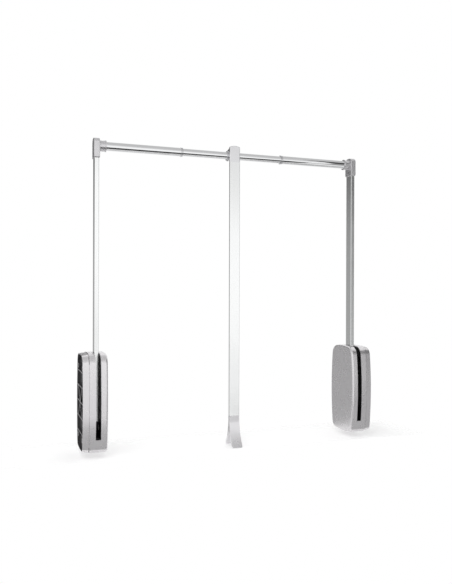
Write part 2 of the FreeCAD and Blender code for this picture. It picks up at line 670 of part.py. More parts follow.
def pivot_bushes():
    """Two flanged plastic bushes pressed into the chassis plates, flanges towards the arm."""
    radius = "shaft_diameter / 2 + running_clearance"
    barrel = cylinder(f"{radius} + bush_wall", "chassis_wall", "X", PLATE_X, "0", PIVOT_Z)
    flange = cylinder(f"{radius} + bush_wall + bush_flange_rim", "bush_flange", "X", CHANNEL_X, "0", PIVOT_Z)
    bore = cylinder(radius, "chassis_wall + bush_flange", "X", PLATE_X, "0", PIVOT_Z)
    outer = cut(fuse(barrel, flange), bore)
    return finished("left_pivot_bushes", group(outer, mirrored(outer, "wall_to_arm")))


def pivot_shaft():
    """Steel shaft that turns with the arm, with a flat under the foot and one under the pinion."""
    inner_end = "wall_to_arm + channel_width / 2 + chassis_wall + shaft_inner_stub"
    bar = cylinder("shaft_diameter / 2", f"{inner_end} - shaft_outer_end", "X",
                   "shaft_outer_end", "0", PIVOT_Z)
    flats = []
    for start, length in (("wall_to_arm - arm_width / 2", "arm_width"),
                          ("shaft_outer_end", "pinion_from_wall + pinion_width - shaft_outer_end")):
        flats.append(box(start, "0 - shaft_diameter", f"{PIVOT_Z} + shaft_flat",
                         length, "shaft_diameter * 2", "shaft_diameter"))
    return finished("left_pivot_shaft", cut(bar, group(*flats)))


def shaft_clips():
    """Retaining rings on both ends of the shaft."""
    inner_plate = "wall_to_arm + channel_width / 2 + chassis_wall"
    rings = []
    for x in (f"{inner_plate} + clip_gap", "pinion_from_wall + pinion_width + clip_gap"):
        ring = cylinder("shaft_diameter / 2 + clip_wall", "clip_thickness", "X", x, "0", PIVOT_Z)
        bore = cylinder("shaft_diameter / 2", "clip_thickness", "X", x, "0", PIVOT_Z)
        rings.append(cut(ring, bore))
    return finished("left_shaft_clips", group(*rings))


def pinion(shaft):
    """Involute pinion, made from its tooth formula, with the shaft's own shape cut out of it."""
    teeth = int(size("pinion_teeth"))
    pitch_radius, module = size(PITCH_RADIUS), size("tooth_module")
    slope = math.radians(size("pressure_angle"))
    base_radius = pitch_radius * math.cos(slope)
    root_radius, tip_radius = pitch_radius - size(TOOTH_ROOT), pitch_radius + module
    half_tooth = (math.pi * module / 2 - size("tooth_backlash")) / 2 / pitch_radius
    flank_steps = (0, 0.3, 0.65, 1)  # shares of the way from the base circle to the tip

    def involute(angle):
        return math.tan(angle) - angle

    def flank_angle(radius):
        """Half the tooth's angle at a radius. Below the base circle the flank is radial."""
        reach = math.acos(min(1.0, base_radius / radius))
        return half_tooth + involute(slope) - involute(reach)

    def point(radius, angle):
        return Vector(0, radius * math.cos(angle), radius * math.sin(angle))

    def flank(points):
        curve = Part.BSplineCurve()
        curve.interpolate(points)
        return curve

    curves = []
    radii = [base_radius + (tip_radius - base_radius) * step for step in flank_steps]
    foot_angle = flank_angle(base_radius)
    for number in range(teeth):
        middle = 2 * math.pi * number / teeth
        between = middle + math.pi / teeth
        following = middle + 2 * math.pi / teeth
        rising = [point(radius, middle - flank_angle(radius)) for radius in radii]
        falling = [point(radius, middle + flank_angle(radius)) for radius in reversed(radii)]
        this_root = point(root_radius, middle + foot_angle)
        next_root = point(root_radius, following - foot_angle)
        curves += [
            Part.LineSegment(point(root_radius, middle - foot_angle), rising[0]),
            flank(rising),
            Part.Arc(rising[-1], point(tip_radius, middle), falling[0]),
            flank(falling),
            Part.LineSegment(falling[-1], this_root),
            Part.Arc(this_root, point(root_radius, between), next_root),
        ]
    face = Part.Face(Part.Wire([curve.toShape() for curve in curves]))
    gear = face.extrude(Vector(size("pinion_width"), 0, 0))
    gear.translate(Vector(size("pinion_from_wall"), 0, size(PIVOT_Z)))
    feature = doc.addObject("Part::Feature", "Pinion")
    feature.Shape = gear.cut(shaft.Shape)
    return finished("left_pinion", feature)


def rack():
    """Toothed slide behind the pinion, with a shoe on top that lifts the spring and the damper rod."""
    body = new_body("Rack")
    root_y = f"{PITCH_RADIUS} + {TOOTH_ROOT}"
    back_y = f"{PITCH_RADIUS} + rack_back"
    end_y = "damper_behind_pivot + rack_shoe_end"
    bar = new_sketch(body, "YZ_Plane", "rack_from_wall")
    add_outline(bar, [
        (root_y, TEETH_Z), (back_y, TEETH_Z), (back_y, f"{SHOE_Z} - rack_shoe"),
        (end_y, f"{SHOE_Z} - rack_shoe"), (end_y, SHOE_Z), (root_y, SHOE_Z),
    ])
    pad(body, bar, "rack_width")
    tooth = new_sketch(body, "YZ_Plane", "rack_from_wall", y=f"{TEETH_Z} + {TOOTH_PITCH} / 2")
    half = f"({TOOTH_PITCH} / 4 - tooth_backlash / 2)"
    tip = f"({half} - rack_addendum * tan(pressure_angle))"
    root = f"({half} + {TOOTH_ROOT} * tan(pressure_angle))"
    tip_y = f"{PITCH_RADIUS} - rack_addendum"
    add_outline(tooth, [(tip_y, f"0 - {tip}"), (root_y, f"0 - {root}"), (root_y, root), (tip_y, tip)])
    first = pad(body, tooth, "rack_width")
    repeat(body, [first], tooth, "V_Axis", f"{TOOTH_PITCH} * (rack_teeth - 1)", "rack_teeth")
    socket = new_sketch(body, "XY_Plane", f"{SHOE_Z} - rack_shoe")
    add_circle(socket, "mechanism_from_wall", "damper_behind_pivot", "damper_rod_radius")
    pocket(body, socket, "rack_shoe")
    return finished("left_rack", body)


def lift_spring():
    """Compression spring between the rack's shoe and the seat on the chassis."""
    body = new_body("LiftSpring")
    wire = new_sketch(body, "XZ_Plane", x="mechanism_from_wall", y=f"{SHOE_Z} + spring_wire / 2",
                      height="0 - spring_behind_pivot")
    add_circle(wire, "spring_coil", "0", "spring_wire / 2")
    doc.recompute()
    coil = body.newObject("PartDesign::AdditiveHelix", "Coil")
    coil.Profile = wire
    coil.ReferenceAxis = (wire, ["V_Axis"])
    coil.Mode = 0
    drive(coil, Pitch="spring_pitch", Height="spring_length - spring_wire")
    doc.recompute()
    return finished("left_lift_spring", body)


def spring_guide():
    """Steel rod fixed in the seat, which keeps the spring straight. The raised shoe stays below it."""
    travel = f"{PITCH_RADIUS} * swing_angle * pi / 180"
    low = f"({SHOE_Z} + {travel} + spring_wire)"
    return finished("left_spring_guide", cylinder(
        "spring_guide_radius", f"{SEAT_Z} + guide_wall - {low}", "Z",
        "mechanism_from_wall", "spring_behind_pivot", low))


def damper_cylinder():
    """Oil damper's cylinder, open below for its rod."""
    at = ("mechanism_from_wall", "damper_behind_pivot")
    barrel = cylinder("damper_radius", "damper_length", "Z", *at, DAMPER_Z)
    bore = cylinder("damper_bore", "damper_length - damper_end * 2", "Z", *at, f"{DAMPER_Z} + damper_end")
    rod_hole = cylinder("damper_rod_radius + running_clearance", "damper_end", "Z", *at, DAMPER_Z)
    return finished("left_damper_cylinder", cut(barrel, group(bore, rod_hole)))


def damper_rod():
    """Piston rod that stands in the rack's shoe, with its piston inside the cylinder."""
    at = ("mechanism_from_wall", "damper_behind_pivot")
    piston_z = f"{DAMPER_Z} + damper_end + piston_length"
    low = f"({SHOE_Z} - rack_shoe)"
    rod = cylinder("damper_rod_radius", f"{piston_z} - {low}", "Z", *at, low)
    piston = cylinder("damper_bore - running_clearance", "piston_length", "Z", *at, piston_z)
    return finished("left_damper_rod", fuse(rod, piston))


# ---------------------------------------------------------------- arm and rod

def arm_rivets():
    """Rivets across the arm, two through its foot and one through the corner connector."""
    rivets = []
    low = f"{PIVOT_Z} + foot_length"
    for z in (f"{low} + tongue_length / 4", f"{low} + tongue_length * 3 / 4"):
        rivets.append(cylinder("rivet_diameter / 2", "arm_width", "X", "wall_to_arm - arm_width / 2", "0", z))
    rivets.append(cylinder("rivet_diameter / 2", "connector_width", "X", "wall_to_arm - connector_width / 2",
                           "0", f"{ROD_Z} - (connector_below_rod + arm_below_rod) / 2"))
    return finished("left_arm_rivets", group(*rivets))


def arm_foot(shaft, rivets):
    """Cast foot: an eye on the shaft and a tongue up inside the arm."""
    body = new_body("ArmFoot")
    eye = new_sketch(body, "YZ_Plane", "wall_to_arm - arm_width / 2", y=PIVOT_Z)
    add_outline(eye, [
        ("0 - arm_depth / 2", "0", "arm_depth / 2", 1), ("0", "0 - arm_depth / 2", "arm_depth / 2", 1),
        ("arm_depth / 2", "0"), ("arm_depth / 2", "foot_length"), ("0 - arm_depth / 2", "foot_length"),
    ])
    pad(body, eye, "arm_width")
    tongue = new_sketch(body, "XY_Plane", f"{PIVOT_Z} + foot_length / 2", x="wall_to_arm")
    slack = "(arm_wall + tongue_play) * 2"
    add_rounded_rectangle(tongue, "0", "0", f"arm_width - {slack}", f"arm_depth - {slack}",
                          "arm_corner - arm_wall")
    pad(body, tongue, "foot_length / 2 + tongue_length")
    return finished("left_arm_foot", cut(cut(body, shaft), rivets))


def arm(rivets):
    """Hollow anodised extrusion with soft corners."""
    body = new_body("Arm")
    low = f"({PIVOT_Z} + foot_length)"
    section = new_sketch(body, "XY_Plane", low, x="wall_to_arm")
    add_rounded_rectangle(section, "0", "0", "arm_width", "arm_depth", "arm_corner")
    add_rounded_rectangle(section, "0", "0", "arm_width - arm_wall * 2", "arm_depth - arm_wall * 2",
                          "arm_corner - arm_wall")
    pad(body, section, f"{ROD_Z} - arm_below_rod - {low}")
    return finished("left_arm", cut(body, rivets))


def corner_connector(rivets):
    """Cast corner with an arched crown: a socket for the arm below and a bore for the tube at its side."""
    body = new_body("CornerConnector")
    side = new_sketch(body, "YZ_Plane", "wall_to_arm - connector_width / 2", y=ROD_Z)
    half = "connector_depth / 2"
    spring_line = "(connector_above_rod - connector_crown)"
    crown = f"((({half}) ^ 2 + connector_crown ^ 2) / 2 / connector_crown)"
    add_outline(side, [
        (f"0 - {half}", "0 - connector_below_rod"), (half, "0 - connector_below_rod"),
        (half, spring_line, crown, 1), (f"0 - {half}", spring_line),
    ])
    pad(body, side, "connector_width")
    across = Vector(1, 0, 0)
    rod_z = size(ROD_Z)
    round_edges(body, lambda edge: on_line(edge, across) and edge.BoundBox.ZMin > rod_z, "connector_shoulder")
    round_edges(body, lambda edge: on_line(edge, across) and edge.BoundBox.ZMax < rod_z, "connector_heel")
    socket = new_sketch(body, "XY_Plane", f"{ROD_Z} - connector_below_rod", x="wall_to_arm")
    add_rounded_rectangle(socket, "0", "0", "arm_width", "arm_depth", "arm_corner")
    pocket(body, socket, "connector_below_rod - arm_below_rod")
    bore = new_sketch(body, "YZ_Plane", "wall_to_arm + tube_from_arm")
    add_circle(bore, "0", ROD_Z, "outer_tube / 2")
    pocket(body, bore, "connector_width / 2 - tube_from_arm")
    return finished("left_corner_connector", cut(body, rivets))


def collar_screw():
    """Grub screw under the collar that pinches the tube."""
    return finished("left_collar_screw", cylinder(
        "grub_screw / 2", "collar_wall", "Z", f"{CONNECTOR_X} + collar_length / 2", "0",
        f"{ROD_Z} - outer_tube / 2 - collar_wall"))


def tube_collar(screw):
    """Cast collar round the tube's end, with a raised end ring."""
    ring = cylinder("outer_tube / 2 + collar_wall", "collar_length", "X", CONNECTOR_X, "0", ROD_Z)
    lip = cylinder("outer_tube / 2 + collar_wall + collar_lip", "collar_lip_length", "X",
                   f"{CONNECTOR_X} + collar_length - collar_lip_length", "0", ROD_Z)
    bore = cylinder("outer_tube / 2", "collar_length", "X", CONNECTOR_X, "0", ROD_Z)
    hole_depth = "(outer_tube / 2 + collar_wall)"
    hole = cylinder("grub_screw / 2", hole_depth, "Z", f"{CONNECTOR_X} + collar_length / 2", "0",
                    f"{ROD_Z} - {hole_depth}")
    return finished("left_tube_collar", cut(fuse(ring, lip), fuse(bore, hole)))


def outer_tube():
    """Chromed steel tube, fixed in the corner connector."""
    at = ("X", "wall_to_arm + tube_from_arm", "0", ROD_Z)
    length = "outer_tube_end - tube_from_arm"
    return finished("left_outer_tube", cut(cylinder("outer_tube / 2", length, *at),
                                           cylinder("outer_tube / 2 - tube_wall", length, *at)))


def guide_ring():
    """Plastic ring snapped over the outer tube's mouth, which guides the inner tube."""
    mouth = "(wall_to_arm + outer_tube_end)"
    start = f"{mouth} + guide_ring_lip - guide_ring_length"
    ring = cylinder("outer_tube / 2 + guide_ring_wall", "guide_ring_length", "X", start, "0", ROD_Z)
    tube_seat = cylinder("outer_tube / 2", "guide_ring_length - guide_ring_lip", "X", start, "0", ROD_Z)
    bore = cylinder("inner_tube / 2 + slide_clearance", "guide_ring_lip", "X", mouth, "0", ROD_Z)
    return finished("left_guide_ring", cut(ring, group(tube_seat, bore)))


def inner_tube():
    """Chromed steel tube that slides in both outer tubes."""
    at = ("X", f"{MIDDLE_X} - inner_tube_length / 2", "0", ROD_Z)
    return finished("inner_tube", cut(cylinder("inner_tube / 2", "inner_tube_length", *at),
                                      cylinder("inner_tube / 2 - tube_wall", "inner_tube_length", *at)))


def tube_glides():
    """Plastic plugs in the inner tube's ends, whose flanges slide in the outer tubes."""
    end = f"({MIDDLE_X} - inner_tube_length / 2)"
    flange = cylinder("outer_tube / 2 - tube_wall - slide_clearance", "glide_flange", "X",
                      f"{end} - glide_flange", "0", ROD_Z)
    plug = cylinder("inner_tube / 2 - tube_wall", "glide_depth", "X", end, "0", ROD_Z)
    glide = fuse(flange, plug)
    return finished("tube_glides", group(glide, mirrored(glide, MIDDLE_X)))


# ---------------------------------------------------------------- pull handle

def handle_screws():
    """Countersunk screws through the bar's back into the tongues of head and grip."""
    screws = []
    back, middle = "0 - bar_behind_front", "0 - bar_behind_front - bar_thickness / 2"
    for z in (f"{HEAD_Z} - bar_tongue / 2", f"{GRIP_Z} + bar_tongue / 2"):
        head = cylinder("handle_screw_head / 2", "bar_wall", "Y", MIDDLE_X, f"{back} - bar_wall", z)
        shank = cylinder("handle_screw / 2", "bar_thickness / 2", "Y", MIDDLE_X, middle, z)
        screws.append(fuse(head, shank))
    return finished("handle_screws", group(*screws))


def add_tongue(body, low, length):
    """A tongue that fits inside the hollow bar."""
    tongue = new_sketch(body, "XY_Plane", low, x=MIDDLE_X, y=f"{BAR_Y} + bar_thickness / 2")
    slack = "(bar_wall + tongue_play) * 2"
    add_rectangle(tongue, f"0 - (bar_width - {slack}) / 2", f"0 - (bar_thickness - {slack}) / 2",
                  f"(bar_width - {slack}) / 2", f"(bar_thickness - {slack}) / 2")
    pad(body, tongue, length)


def handle_head(screws):
    """Cast head: a crowned front plate, a hub round the rod behind it and a tongue down into the bar."""
    body = new_body("HandleHead")
    plate = new_sketch(body, "XZ_Plane", "bar_behind_front", x=MIDDLE_X, y=ROD_Z)
    half = "bar_width / 2"
    arch = "(((bar_width / 2) ^ 2 + head_crown ^ 2) / 2 / head_crown)"
    add_outline(plate, [
        (f"0 - {half}", "0 - head_below_rod"), (half, "0 - head_below_rod"),
        (half, "head_above_rod - head_crown", arch, 1), (f"0 - {half}", "head_above_rod - head_crown"),
    ])
    pad(body, plate, "bar_thickness")
    hub = new_sketch(body, "YZ_Plane", f"{MIDDLE_X} - bar_width / 2", y=ROD_Z)
    root_y = "0 - bar_behind_front - hub_root"
    add_outline(hub, [
        (root_y, "0 - hub_radius"), ("0", "0 - hub_radius", "hub_radius", 1),
        ("hub_radius", "0", "hub_radius", 1), ("0", "hub_radius"), (root_y, "hub_root_above_rod"),
    ])
    pad(body, hub, "bar_width")
    bore = new_sketch(body, "YZ_Plane", f"{MIDDLE_X} - bar_width / 2")
    add_circle(bore, "0", ROD_Z, "inner_tube / 2 + running_clearance + hub_bush_wall")
    pocket(body, bore, "bar_width")
    add_tongue(body, f"{HEAD_Z} - bar_tongue", "bar_tongue + tongue_root")
    return finished("handle_head", cut(body, screws))


def handle_bush():
    """Plastic bush between the hub and the rod, in two halves with a flange each side of the hub."""
    radius = "inner_tube / 2 + running_clearance"
    start = f"({MIDDLE_X} - bar_width / 2 - hub_bush_stub)"
    barrel = cylinder(f"{radius} + hub_bush_wall", "bar_width / 2 + hub_bush_stub", "X", start, "0", ROD_Z)
    flange = cylinder(f"{radius} + hub_bush_wall + hub_bush_rim", "hub_bush_stub", "X", start, "0", ROD_Z)
    bore = cylinder(radius, "bar_width / 2 + hub_bush_stub", "X", start, "0", ROD_Z)
    half = cut(fuse(barrel, flange), bore)
    return finished("handle_bush", group(half, mirrored(half, MIDDLE_X)))


def handle_bar(screws):
    """Hollow flat anodised bar between head and grip."""
    body = new_body("HandleBar")
    section = new_sketch(body, "XY_Plane", GRIP_Z, x=MIDDLE_X, y=f"{BAR_Y} + bar_thickness / 2")
    add_rounded_rectangle(section, "0", "0", "bar_width", "bar_thickness", "bar_corner")
    add_rectangle(section, "bar_wall - bar_width / 2", "bar_wall - bar_thickness / 2",
                  "bar_width / 2 - bar_wall", "bar_thickness / 2 - bar_wall")
    pad(body, section, "bar_length")
    return finished("handle_bar", cut(body, screws))


def handle_grip(screws):
    """Moulded grip: a band under the bar, then two wings that sweep apart to the front and to the back."""
    body = new_body("HandleGrip")
    wings = new_sketch(body, "YZ_Plane", f"{MIDDLE_X} - bar_width / 2", y=GRIP_Z)
    front, back = BAR_Y, "(0 - bar_behind_front)"
    middle = f"({BAR_Y} + bar_thickness / 2)"
    tip_front, tip_back = f"{front} - wing_forward", f"{back} + wing_back"
    low, band = "0 - grip_length", "0 - grip_band"
    add_outline(wings, [
        (front, "0"), (front, band, "wing_radius", -1), (tip_front, low),
        (f"{tip_front} + wing_thickness", low, "wing_radius", 1),
        (middle, "0 - grip_crotch", "wing_radius", 1), (f"{tip_back} - wing_thickness", low),
        (tip_back, low, "wing_radius", -1), (back, band), (back, "0"),
    ])
    pad(body, wings, "bar_width")
    depthwise = Vector(0, 1, 0)
    tips_z = size(GRIP_Z) - size("grip_length") + CLOSE
    round_edges(body, lambda edge: on_line(edge, depthwise) and edge.BoundBox.ZMax < tips_z, "wing_corner")
    add_tongue(body, f"{GRIP_Z} - tongue_root", "bar_tongue + tongue_root")
    return finished("handle_grip", cut(body, screws))


# ---------------------------------------------------------------- the whole lift

back_shell()
front_cover()
chassis()
chassis_screws()
stop_bumpers()
pivot_bushes()
shaft = pivot_shaft()
shaft_clips()
doc.recompute()
pinion(shaft)
rack()
lift_spring()
spring_guide()
damper_cylinder()
damper_rod()
rivets = arm_rivets()
arm_foot(shaft, rivets)
arm(rivets)
corner_connector(rivets)
tube_collar(collar_screw())
outer_tube()
guide_ring()
doc.recompute()
for left, piece in list(nodes.items()):
    finished(left.replace("left_", "right_"), mirrored(piece, MIDDLE_X))
inner_tube()
tube_glides()
screws = handle_screws()
handle_head(screws)
handle_bush()
handle_bar(screws)
handle_grip(screws)
doc.recompute()

for thing in doc.Objects:
    if "Invalid" in thing.State or "Error" in thing.State:
        raise RuntimeError(f"{thing.Label}: {thing.State}")
for node, thing in nodes.items():
    if thing.Shape.isNull() or not thing.Shape.isValid() or not thing.Shape.Solids:
        raise RuntimeError(f"{node}: no valid solid")

os.makedirs("parts", exist_ok=True)
for node, thing in nodes.items():
    thing.Shape.exportStep(f"parts/{node}.step")
    print(f"{node}: {len(thing.Shape.Solids)} solids, {thing.Shape.Volume / 1000:.2f} cm3")
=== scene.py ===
"""Pull down closet rod: the finish and fine shape of every piece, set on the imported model.

Metres, +X to the right, +Y to the wardrobe's back, +Z up. Covers, arms and what the arms carry are
built on the left, and the right ones are their mirror images.
"""
import math

import bmesh
import bpy
from mathutils import Matrix, Vector


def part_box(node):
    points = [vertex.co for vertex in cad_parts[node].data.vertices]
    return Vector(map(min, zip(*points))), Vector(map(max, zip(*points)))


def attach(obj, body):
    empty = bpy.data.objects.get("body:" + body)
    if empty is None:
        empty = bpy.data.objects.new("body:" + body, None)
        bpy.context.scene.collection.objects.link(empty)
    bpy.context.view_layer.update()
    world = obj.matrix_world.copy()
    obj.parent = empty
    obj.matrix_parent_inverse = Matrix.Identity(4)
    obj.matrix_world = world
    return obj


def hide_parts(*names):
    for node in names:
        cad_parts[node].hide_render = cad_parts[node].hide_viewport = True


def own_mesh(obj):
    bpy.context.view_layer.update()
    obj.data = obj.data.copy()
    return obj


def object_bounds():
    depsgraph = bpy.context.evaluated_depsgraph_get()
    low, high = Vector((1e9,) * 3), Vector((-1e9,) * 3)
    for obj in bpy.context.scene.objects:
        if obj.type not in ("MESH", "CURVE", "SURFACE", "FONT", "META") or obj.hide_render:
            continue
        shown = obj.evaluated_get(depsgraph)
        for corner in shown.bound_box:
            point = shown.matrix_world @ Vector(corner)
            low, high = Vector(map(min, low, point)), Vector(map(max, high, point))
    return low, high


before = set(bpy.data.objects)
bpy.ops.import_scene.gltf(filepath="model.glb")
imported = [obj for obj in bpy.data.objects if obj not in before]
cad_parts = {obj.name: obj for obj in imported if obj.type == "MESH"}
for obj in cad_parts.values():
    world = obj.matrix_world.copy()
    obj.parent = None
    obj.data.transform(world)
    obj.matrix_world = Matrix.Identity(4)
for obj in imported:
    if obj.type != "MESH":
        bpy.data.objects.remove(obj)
cad_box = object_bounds()


# ---------------------------------------------------------------- back shells
# Each side unit stands against the wardrobe's side on an open shell, moulded in silver ABS. Ribs
# stiffen its pockets, four wall screws pass through its bosses, and a lip round its edge holds the cover.

mm = 0.001
weld = 0.002 * mm  # points nearer than this are one


def colour(code):
    """An sRGB hex code as linear red, green, blue and alpha."""
    shares = [int(code[i:i + 2], 16) / 255 for i in (1, 3, 5)]
    return [s / 12.92 if s <= 0.04045 else ((s + 0.055) / 1.055) ** 2.4 for s in shares] + [1]


def add_node(tree, kind, inputs, **settings):
    """Add a node with its own settings. An input is set to a value, or linked where that is a socket."""
    node = tree.nodes.new(kind)
    for name, value in settings.items():
        setattr(node, name, value)
    for name, value in inputs.items():
        if isinstance(value, bpy.types.NodeSocket):
            tree.links.new(value, node.inputs[name])
        else:
            node.inputs[name].default_value = value
    return node


def new_material(name):
    """An empty material, with its coordinates and the shader that its surface ends in."""
    material = bpy.data.materials.new(name)
    material.use_nodes = True
    tree = material.node_tree
    tree.nodes.clear()
    shader = add_node(tree, "ShaderNodeBsdfPrincipled", {})
    add_node(tree, "ShaderNodeOutputMaterial", {"Surface": shader.outputs["BSDF"]})
    place = add_node(tree, "ShaderNodeTexCoord", {}).outputs["Object"]
    return material, tree, place, shader


def mix_tones(tree, share, tones):
    """A share from 0 to 1 as a colour between two tones. A colour mix has its share on input 0, its
    colours on inputs 6 and 7 and its result on output 2."""
    mix = add_node(tree, "ShaderNodeMix", {0: share, 6: colour(tones[0]), 7: colour(tones[1])},
                   data_type="RGBA")
    return mix.outputs[2]


def spread(tree, share, low, high):
    """A noise's usual span, 0.3 to 0.7, stretched over low to high."""
    limits = {"Value": share, "From Min": 0.3, "From Max": 0.7, "To Min": low, "To Max": high}
    return add_node(tree, "ShaderNodeMapRange", limits).outputs["Result"]


def moulded(name, tones, metallic, roughness, flake, grain):
    """Plastic or paint: flakes of two tones, a fine grain, and gloss that wanders a little."""
    material, tree, place, shader = new_material(name)
    flakes = add_node(tree, "ShaderNodeTexNoise", {"Vector": place, "Scale": 1 / flake, "Detail": 2.0})
    cloud = add_node(tree, "ShaderNodeTexNoise",
                     {"Vector": place, "Scale": 1 / (25 * mm), "Detail": 3.0})
    pits = add_node(tree, "ShaderNodeTexNoise", {"Vector": place, "Scale": 1 / grain, "Detail": 1.0})
    bump = add_node(tree, "ShaderNodeBump", {"Height": pits.outputs["Fac"], "Strength": 0.2,
                                             "Distance": grain / 60})
    tree.links.new(mix_tones(tree, flakes.outputs["Fac"], tones), shader.inputs["Base Color"])
    tree.links.new(spread(tree, cloud.outputs["Fac"], *roughness), shader.inputs["Roughness"])
    tree.links.new(bump.outputs["Normal"], shader.inputs["Normal"])
    shader.inputs["Metallic"].default_value = metallic
    return material


def make_whole(bm):
    """Join loose triangles, and make one face of all that lie in one plane."""
    bmesh.ops.remove_doubles(bm, verts=bm.verts, dist=weld)
    bmesh.ops.dissolve_limit(bm, angle_limit=math.radians(0.5), verts=bm.verts, edges=bm.edges,
                             delimit={"NORMAL"})


def merged_copy(node):
    """A node's own shape, to work on."""
    bm = bmesh.new()
    bm.from_mesh(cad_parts[node].data)
    make_whole(bm)
    return bm


def round_off(bm, geometry, radius, segments, affect="EDGES"):
    """Round edges, or the corners of a flat face where it affects vertices."""
    bmesh.ops.bevel(bm, geom=geometry, offset=radius, offset_type="OFFSET", segments=segments,
                    profile=0.5, affect=affect, clamp_overlap=True, material=-1)


def soften(bm, radius, segments=2, above=35):
    """Round every edge that is sharper than a number of degrees."""
    sharp = [edge for edge in bm.edges
             if edge.is_manifold and edge.calc_face_angle() > math.radians(above)]
    round_off(bm, sharp, radius, segments)


def add_piece(name, bm, body, slot, material, *nodes):
    """Make a bmesh a piece that rides on a body, takes a material's finish and hides the nodes it stands
    for. Its slot is not used.
    """
    mesh = bpy.data.meshes.new(name)
    bm.to_mesh(mesh)
    bm.free()
    mesh.materials.append(material)
    mesh.shade_smooth()
    mesh.set_sharp_from_angle(angle=math.radians(40))
    piece = bpy.data.objects.new(name, mesh)
    bpy.context.scene.collection.objects.link(piece)
    piece.modifiers.new("flat faces stay flat", "WEIGHTED_NORMAL").keep_sharp = True
    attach(piece, body)
    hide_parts(*nodes)
    return piece


# silver ABS, moulded with aluminium flake against a spark-eroded cavity: a soft metallic sheen
silver_abs = moulded("silver ABS", ("#dfdddf", "#e3e1e3"), metallic=0.84, roughness=(0.26, 0.3),
                     flake=0.8 * mm, grain=0.7 * mm)

# the shell's inward faces take a dark, dull ABS: painted shade in its pockets and recesses
pocket_shade_abs = moulded("dark ABS for painted pocket shade", ("#3c3b3d", "#4a494b"), metallic=0.25, roughness=(0.5, 0.6),
                   flake=0.8 * mm, grain=0.7 * mm)
pocket_depth, rim_width, skin_play = 1.2 * mm, 8 * mm, 0.5 * mm
facing = 0.7  # a face looks along X where its normal's X is above this


def on_outside(face, spots):
    """Whether none of the spots lies beyond the face's plane."""
    reach = max(face.normal.dot(spot) for spot in spots)
    return reach - face.normal.dot(face.verts[0].co) < skin_play


# the pockets' floors and sides, the ribs' flanks and whatever else looks inwards take the dark ABS as
# painted shade
for side, wall_normal in (("left", -1), ("right", 1)):
    shell = merged_copy(f"{side}_back_shell")
    soften(shell, 0.35 * mm)
    low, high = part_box(f"{side}_back_shell")
    wall_x = low.x if side == "left" else high.x
    spots = [vertex.co.copy() for vertex in shell.verts]
    for face in shell.faces:
        spot = face.calc_center_median()
        from_middle = spot - (low + high) / 2
        looks_in = face.normal.y * from_middle.y + face.normal.z * from_middle.z < 0
        within = low.y + rim_width < spot.y < high.y - rim_width and (
            low.z + rim_width < spot.z < high.z - rim_width)
        if face.normal.x * wall_normal > facing:
            face.material_index = int(abs(spot.x - wall_x) > pocket_depth)
        elif abs(face.normal.x) < facing:
            face.material_index = int(looks_in or within and not on_outside(face, spots))
    piece = add_piece(f"{side}_shell", shell, f"{side}_unit", "silver_plastic", silver_abs,
                      f"{side}_back_shell")
    piece.data.materials.append(pocket_shade_abs)


# ---------------------------------------------------------------- chassis
# A black glass-filled nylon moulding in each unit: two plates with the arm's channel between them. It
# carries the pivot's bushes, guides the rack and seats the spring.

# glass-filled nylon: black, a little greasy, with cloudy flow marks
black_nylon = moulded("glass-filled nylon", ("#0b0b0c", "#1b1a1c"), metallic=0.0,
                      roughness=(0.38, 0.52), flake=2.5 * mm, grain=1.0 * mm)

for side in ("left", "right"):
    chassis = merged_copy(f"{side}_chassis")
    soften(chassis, 0.25 * mm)
    add_piece(f"{side}_chassis_moulding", chassis, f"{side}_unit", "black_nylon", black_nylon,
              f"{side}_chassis")


# ---------------------------------------------------------------- screws, pins and working parts
# Inside each unit: zinc plated chassis screws, a turned steel shaft in acetal bushes, its retaining
# rings, the steel pinion and rack, the spring's guide and the oil damper. They stay as they are made.


def worn_metal(name, tones, roughness, cloud, metallic=1.0):
    """Plated or turned metal: two near tones and a gloss that drift together in soft clouds."""
    material, tree, place, shader = new_material(name)
    drift = add_node(tree, "ShaderNodeTexNoise", {"Vector": place, "Scale": 1 / cloud, "Detail": 4.0})
    tree.links.new(mix_tones(tree, drift.outputs["Fac"], tones), shader.inputs["Base Color"])
    tree.links.new(spread(tree, drift.outputs["Fac"], *roughness), shader.inputs["Roughness"])
    shader.inputs["Metallic"].default_value = metallic
    return material


def dress(material, *nodes):
    """Give nodes that keep their own shape a finish."""
    for node in nodes:
        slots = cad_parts[node].data.materials
        slots.clear()
        slots.append(material)


# zinc plated steel: bright, faintly blue, with a soft cloudy gloss
zinc_steel = worn_metal("zinc plated steel", ("#b4b7ba", "#c9cbcd"), roughness=(0.25, 0.38),
                        cloud=3 * mm)
# turned and oiled steel: darker, smooth, with a film of oil that shifts the gloss
oiled_steel = worn_metal("oiled steel", ("#8f8c88", "#b3b1ad"), roughness=(0.18, 0.34), cloud=4 * mm)
# acetal: milky white and slippery
acetal = moulded("acetal", ("#dcdad4", "#e8e6e1"), metallic=0.0, roughness=(0.28, 0.36), flake=4 * mm,
                 grain=1.5 * mm)
# moulded rubber: black and dull
rubber = moulded("moulded rubber", ("#101011", "#1c1c1d"), metallic=0.0, roughness=(0.6, 0.75),
                 flake=1.2 * mm, grain=0.8 * mm)

for side in ("left", "right"):
    dress(zinc_steel, f"{side}_chassis_screws")
    dress(oiled_steel, *[f"{side}_{node}" for node in (
        "pivot_shaft", "shaft_clips", "pinion", "rack", "spring_guide", "damper_rod")])
    dress(acetal, f"{side}_pivot_bushes")
    dress(black_nylon, f"{side}_damper_cylinder")
    dress(rubber, f"{side}_stop_bumpers")


# ---------------------------------------------------------------- lift springs
# A cold-coiled steel spring presses each rack down from the seat on the chassis. In use its upper end
# stays at the seat and the rack squeezes it from below, as far as the arm's swing drives the pinion; here
# it is drawn at rest, riding on its unit.

ACROSS, DEPTHWISE, UP = Vector((1, 0, 0)), Vector((0, 1, 0)), Vector((0, 0, 1))
wire_radius, wire_sides, spring_pitch, steps_a_turn = 1.1 * mm, 10, 8 * mm, 24

